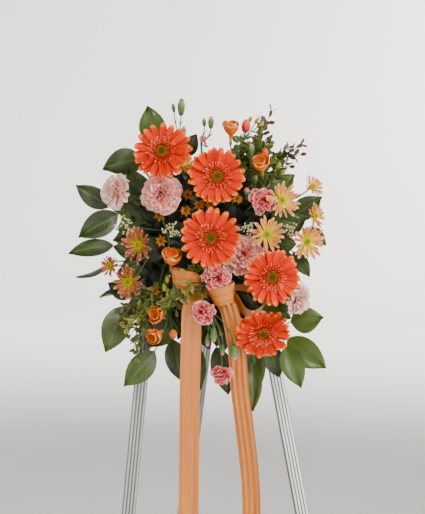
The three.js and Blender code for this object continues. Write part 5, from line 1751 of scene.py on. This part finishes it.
@dataclass(frozen=True)
class RibbonBow:
    """The bow: one length of satin, wound into a cup and two loops round a knot, with two streamers."""

    width: float = 38.0
    thickness: float = 0.6
    flat_share: float = 0.93  # where it spans less of its width than this, it rises in folds
    fold_rise: float = 0.16  # of its width, for each share that is folded away
    knot: Place = (13, -61, -20)
    knot_radius: float = 10.0
    cup_centre: Place = (41, -73, 6)
    cup_top: float = 26.5
    cup_bottom: float = 17.0
    cup_lean: float = 10.0  # degrees that its mouth leans towards the viewer
    cup_roll: float = -11.0  # degrees that it leans to the left
    left_loop: tuple = ((6, -58, -26), (-16, -48, -34), (-40, -44, -28), (-51, -45, -12), (-46, -47, 2),
                        (-30, -49, 8), (-12, -52, 4), (4, -58, -8))
    right_loop: tuple = ((22, -60, -26), (50, -62, -28), (68, -84, -24), (79, -103, -20), (93, -111, -18),
                         (108, -106, -18), (120, -92, -24), (112, -72, -38), (80, -62, -46), (40, -62, -42))
    left_tail: tuple = ((-9, 14, -84), (-15, 4, -110), (-17, 3, -180), (-19, 3, -260), (-20, 3, -340),
                        (-21, 3, -430), (-22, 3, -520), (-23, 3, -600))
    right_tail: tuple = ((42, 22, -84), (56, 14, -110), (69, 13, -180), (74, 13, -250), (84, 13, -330),
                         (93, 14, -410), (97, 17, -490), (93, 21, -560))

    def strip(self, path: Sequence[Vector], wish: Sequence[Vector], ridge: float, folds: float,
              columns: int, gather: Sequence[float] | None = None, notch: float = 0.0) -> Shape:
        """A ribbon along a path.

        Args:
            path: its middle line.
            wish: at each point, the way that its width would run if the path let it.
            ridge: the height of the folds pressed along it.
            folds: how many folds.
            columns: how many points across it.
            gather: at each point, the share of its width that it spans.
            notch: how deep its cut end is.

        Returns:
            The ribbon.
        """
        side = np.linspace(-1, 1, columns)
        rows, run, far = [], [], 0.0
        for i, point in enumerate(path):
            ahead = (path[min(i + 1, len(path) - 1)] - path[max(i - 1, 0)]).normalized()
            across = (wish[i] - ahead * wish[i].dot(ahead)).normalized()
            normal = ahead.cross(across)
            share = gather[i] if gather else 1.0
            high = ridge + max(0.0, self.flat_share - share) * self.width * self.fold_rise
            wave = high * np.cos(folds * pi * side + 0.4)
            cut = notch * (1 - np.abs(side)) * (i == len(path) - 1)
            offset = np.outer(side * share * self.width / 2, across) + np.outer(wave, normal)
            rows.append(np.array(point) + offset - np.outer(cut, ahead))
            far += (path[i] - path[i - 1]).length * MM if i else 0.0
            run.append(far)
        return Shape().sheet(np.stack(rows), Finish.SATIN, self.thickness, np.array(run))

    def lay(self, shape: Shape, name: str, nodes: Sequence[str] = ()) -> None:
        """Makes a piece of ribbon."""
        thing = settle(shape, name, "satin_ribbon", nodes)

    @staticmethod
    def length_of(path: Sequence[Vector]) -> float:
        """The length of a line of points."""
        return sum((b - a).length for a, b in zip(path, path[1:]))

    def build(self) -> None:
        """Makes the streamers, loops, cup and knot."""
        knot = seen(self.knot)
        back = knot.y + self.knot_radius + 2.25
        for name, tail, start, facing, ridge, folds, span in (
                ("streamer_left", self.left_tail, -8, 6, 0.3, 3.0, 1.0),
                ("streamer_right", self.right_tail, 10, -12, 1.5, 3.4, self.flat_share)):
            first = Vector((knot.x + start, back, knot.z - 7))
            path = smooth([first, *[Vector(p) for p in tail]], 8)
            turn = radians(facing)
            wish = [Vector((cos(turn), sin(turn), 0))] * len(path)
            gather = [min(span, 0.5 + 0.5 * i / 9) for i in range(len(path))]
            self.lay(self.strip(path, wish, ridge, folds, 33, gather, 14), name,
                     ["ribbon_bow"] if name == "streamer_left" else ())
        for name, loop, wish in (("loop_left", self.left_loop, (-0.16, -0.3, 1.0)),
                                 ("loop_right", self.right_loop, (0.1, -0.88, 0.46))):
            path = smooth([seen(p) for p in loop], 7)
            gather = [min(1.0, 0.55 + 0.45 * min(i, len(path) - 1 - i) / 9) for i in range(len(path))]
            self.lay(self.strip(path, [Vector(wish)] * len(path), 0.2, 3.0, 17, gather), name)
        self.cup()
        self.wrap(knot)

    def cup(self) -> None:
        """The loop that stands in front like a cup, wider at its top."""
        centre = seen(self.cup_centre)
        turns = [radians(170 - 8.6 * i) for i in range(43)]
        middle = (self.cup_top + self.cup_bottom) / 2
        flare = self.cup_top - self.cup_bottom
        lean = (Matrix.Rotation(radians(self.cup_roll), 3, "Y")
                @ Matrix.Rotation(radians(self.cup_lean), 3, "X"))
        path = [centre + lean @ Vector((cos(t) * middle, 0.9 * sin(t) * middle, 0)) for t in turns]
        wish = [lean @ Vector((flare * cos(t), 0.9 * flare * sin(t), self.width)) for t in turns]
        self.lay(self.strip(path, wish, 0.0, 2.0, 15), "cup_loop")

    def wrap(self, knot: Vector) -> None:
        """The knot: turns of ribbon wound round the bow's middle, and the tuck behind the cup."""
        turns = [radians(12 * i) for i in range(61)]
        radii = [self.knot_radius + 0.03 * i for i in range(len(turns))]
        path = [knot + Vector((cos(t) * r, sin(t) * r, 2.5 * sin(0.31 * i)))
                for i, (t, r) in enumerate(zip(turns, radii))]
        shape = self.strip(path, [Vector((0.1, 0.0, 1.0))] * len(path), 0.5, 3.4, 17, [0.64] * len(path))
        cup = seen(self.cup_centre) + Vector((-20, -3, 0))
        tuck = [knot.lerp(cup, k / 5) for k in range(6)]
        shape.extend(self.strip(tuck, [Vector((0, 0, 1))] * 6, 0.8, 2.0, 13, [0.35] * 6))
        self.lay(shape, "knot_wrap")


@dataclass(frozen=True)
class Fixings:
    """The easel, foam, cage and pick, whose CAD shapes stay and get their finishes."""

    # The legs are the same steel: the right leg's ribs are painted brightest as painted light, and the left
    # and back legs' darker as painted shade.
    strips: tuple[tuple[str, str], ...] = (  # with the colour of their ribs: the right one is the brightest
        ("easel_leg_left", "BCBCBA"), ("easel_leg_right", "F4F4F2"), ("easel_leg_back", "BCBCBA"))
    steel: tuple[str, ...] = ("easel_top_bar", "easel_hinge_bar", "easel_hinge_pin")
    other: tuple[tuple[str, Finish], ...] = (("foam_block", Finish.FOAM), ("foam_cage", Finish.PLASTIC),
                                             ("cage_tie_wire", Finish.WIRE), ("bow_pick", Finish.WOOD))

    def dress(self, nodes: dict[str, Object]) -> None:
        """Gives each node its material.

        Args:
            nodes: the CAD nodes by name.
        """
        paints = [(name, PAINTS.of(Finish.STEEL)) for name in self.steel]
        paints += [(name, PAINTS.of(finish)) for name, finish in self.other]
        paints += [(name, Paints.make("zinc_plated_grooved_strip", self.ribbed(nodes[name].data, bright)))
                   for name, bright in self.strips]
        for name, material in paints:
            slots = nodes[name].data.materials
            slots.clear()
            slots.append(material)
            LOG.info("%s: %s", name, material.name)

    @staticmethod
    def ribbed(mesh: Mesh, bright: str) -> Grooved:
        """The finish of a strip, lined up with its ribs.

        Args:
            mesh: the strip's mesh.
            bright: the colour of its ribs, which carries the painted light and shade of that strip.

        Returns:
            The finish.
        """
        points = np.array([v.co[:] for v in mesh.vertices])
        runs = [points[edge.vertices[1]] - points[edge.vertices[0]] for edge in mesh.edges]
        ahead = max(runs, key=np.linalg.norm)
        ahead /= np.linalg.norm(ahead)
        section = np.unique((points - np.outer(points @ ahead, ahead)).round(5), axis=0)
        wide = np.linalg.svd(section - section.mean(axis=0))[2][0]
        across = section @ wide
        turn = Matrix((wide, np.cross(ahead, wide), ahead)).to_euler()
        return Grooved(tuple(turn), float(across.max() + across.min()) / 2, bright)


@dataclass(frozen=True)
class Studio:
    """The camera at the photograph's angle, soft lights, and a round pale floor that curves up far away."""

    lens: float = 98.4
    image_long_side: float = 514.0
    offset: tuple[float, float] = (12.5, 3.0)  # pixels from O to the image's middle
    floor: str = "EFEDE9"
    washers: int = 8
    washer_power: float = 405.0
    reach: float = 9.0  # how far out the floor is flat, in metres
    bend: float = 3.0  # the radius of its curve up to the wall
    height: float = 6.0
    sides: int = 96

    def build(self) -> None:
        """Makes the camera, the lights and the floor."""
        data = bpy.data.cameras.new("camera")
        data.lens, data.sensor_width = self.lens, 36.0
        data.shift_x = self.offset[0] / self.image_long_side
        data.shift_y = -self.offset[1] / self.image_long_side
        camera = bpy.data.objects.new("camera", data)
        camera.location = PLACE_OF_O * MM + TO_VIEWER * VIEW_DISTANCE * MM
        camera.rotation_euler = (-TO_VIEWER).to_track_quat("-Z", "Y").to_euler()
        bpy.context.scene.collection.objects.link(camera)
        bpy.context.scene.camera = camera
        self.light("key", (1.5, -2.6, 3.0), 1.2, 92.0, (1.0, 0.975, 0.94))
        self.light("side", (2.5, -0.9, 1.7), 0.7, 32.0, (1.0, 0.98, 0.95))
        self.light("fill", (-2.4, -2.2, 1.9), 2.2, 18.0, (0.97, 0.98, 1.0))
        self.light("back", (-0.8, 2.4, 2.8), 1.8, 30.0, (1.0, 1.0, 1.0))
        self.light("wall", (3.2, 8.5, 4.2), 1.5, 110.0, (1.0, 0.99, 0.97), (3.0, 11.9, 1.9), radians(125))
        for k in range(self.washers):
            turn = 2 * pi * (k + 0.5) / self.washers
            side = Vector((cos(turn), sin(turn), 0))
            power = self.washer_power * (1 + 0.55 * cos(turn - radians(10)))  # most at the right
            self.light(f"washer_{k}", side * 5 + Vector((0, 0, 5.5)), 3.0, power, (1.0, 0.99, 0.97),
                       side * 9.5 + Vector((0, 0, 0.8)), radians(125))
        world = bpy.data.worlds.new("studio")
        world.use_nodes = True
        ground = world.node_tree.nodes["Background"]
        ground.inputs[0].default_value = colour("E9E9EC")
        ground.inputs[1].default_value = 0.3
        bpy.context.scene.world = world
        self.bowl()

    @staticmethod
    def light(name: str, place: Sequence[float], size: float, power: float, tint: Sequence[float],
              aim: Sequence[float] = (0, -0.2, 1.0), spread: float = pi) -> None:
        """Adds a soft light.

        Args:
            name: its name.
            place: where it is, in metres from the floor under the spray.
            size: of its side.
            power: in watts.
            tint: its colour.
            aim: what it looks at.
            spread: the angle that its light spreads over.
        """
        data = bpy.data.lights.new(name, "AREA")
        data.shape, data.size, data.energy, data.color, data.spread = "DISK", size, power, tint, spread
        lamp = bpy.data.objects.new(name, data)
        lamp.location = place
        lamp.rotation_euler = (Vector(aim) - Vector(place)).to_track_quat("-Z", "Y").to_euler()
        bpy.context.scene.collection.objects.link(lamp)

    def bowl(self) -> None:
        """Adds the floor, which turns up into a wall all round, out of every view's way."""
        curve = [(self.reach + self.bend * sin(radians(a)),
                  self.bend - self.bend * cos(radians(a))) for a in range(0, 91, 10)]
        profile = [(0.05, 0.0), (2.0, 0.0), (5.0, 0.0), *curve, (self.reach + self.bend, self.height)]
        turns = [2 * pi * k / self.sides for k in range(self.sides)]
        points = [(r * cos(t), r * sin(t), z) for r, z in profile for t in turns]
        mesh = bpy.data.meshes.new("floor")
        mesh.from_pydata(points, [], [face[::-1] for face in ring_faces(len(profile), self.sides)[:-1]])
        mesh.polygons.foreach_set("use_smooth", [True] * len(mesh.polygons))
        material = bpy.data.materials.new("painted_studio_floor")
        material.use_nodes = True
        tree = material.node_tree
        shader = tree.nodes["Principled BSDF"]
        place = add_node(tree, COORDS).outputs["Object"]
        noise = add_node(tree, NOISE, {"Scale": 0.5, "Detail": 2.0}, {"Vector": place})
        mixed = add_node(tree, MIX, {**RGBA, 6: colour(self.floor), 7: colour("EAE8E4")}, {0: noise})
        tree.links.new(mixed.outputs[2], shader.inputs["Base Color"])
        shader.inputs["Roughness"].default_value = 0.9
        mesh.materials.append(material)
        floor = bpy.data.objects.new("floor", mesh)
        bpy.context.scene.collection.objects.link(floor)


def main() -> None:
    """Builds the scene in order."""
    logging.basicConfig(level=logging.INFO, format="%(message)s")
    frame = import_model()
    Studio().build()
    Fixings().dress(frame["nodes"])
    grower = Grower()
    heads = Heads(grower)
    LargeBlooms("gerbera", "gerbera_petals", GERBERAS, 53.0, GERBERA_CALYX, 3.0, 18).build(heads)
    LargeBlooms("carnation", "carnation_petals", CARNATIONS, 38.0, CARNATION_CALYX, 2.2, 5).build(heads)
    Sprays("mini_carnation_spray", "mini", "mini_carnation_petals", MINI_SPRAYS).build(heads)
    Sprays("daisy_mum_spray", "mum", "daisy_mum_petals", MUM_SPRAYS).build(heads)
    Sprays("button_mum_spray", "button", "button_mum_petals", BUTTON_SPRAYS).build(heads)
    Sprays("freesia", "freesia", "freesia_petals", FREESIA_SPRAYS, Finish.FREESIA_BUD).build(heads)
    Boxwood().build(heads)
    WhiteBuds().build()
    Salal().build()
    InnerFoliage().build()
    RibbonBow().build()
    grower.clear()
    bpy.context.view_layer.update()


if __name__ == "__main__":
    main()
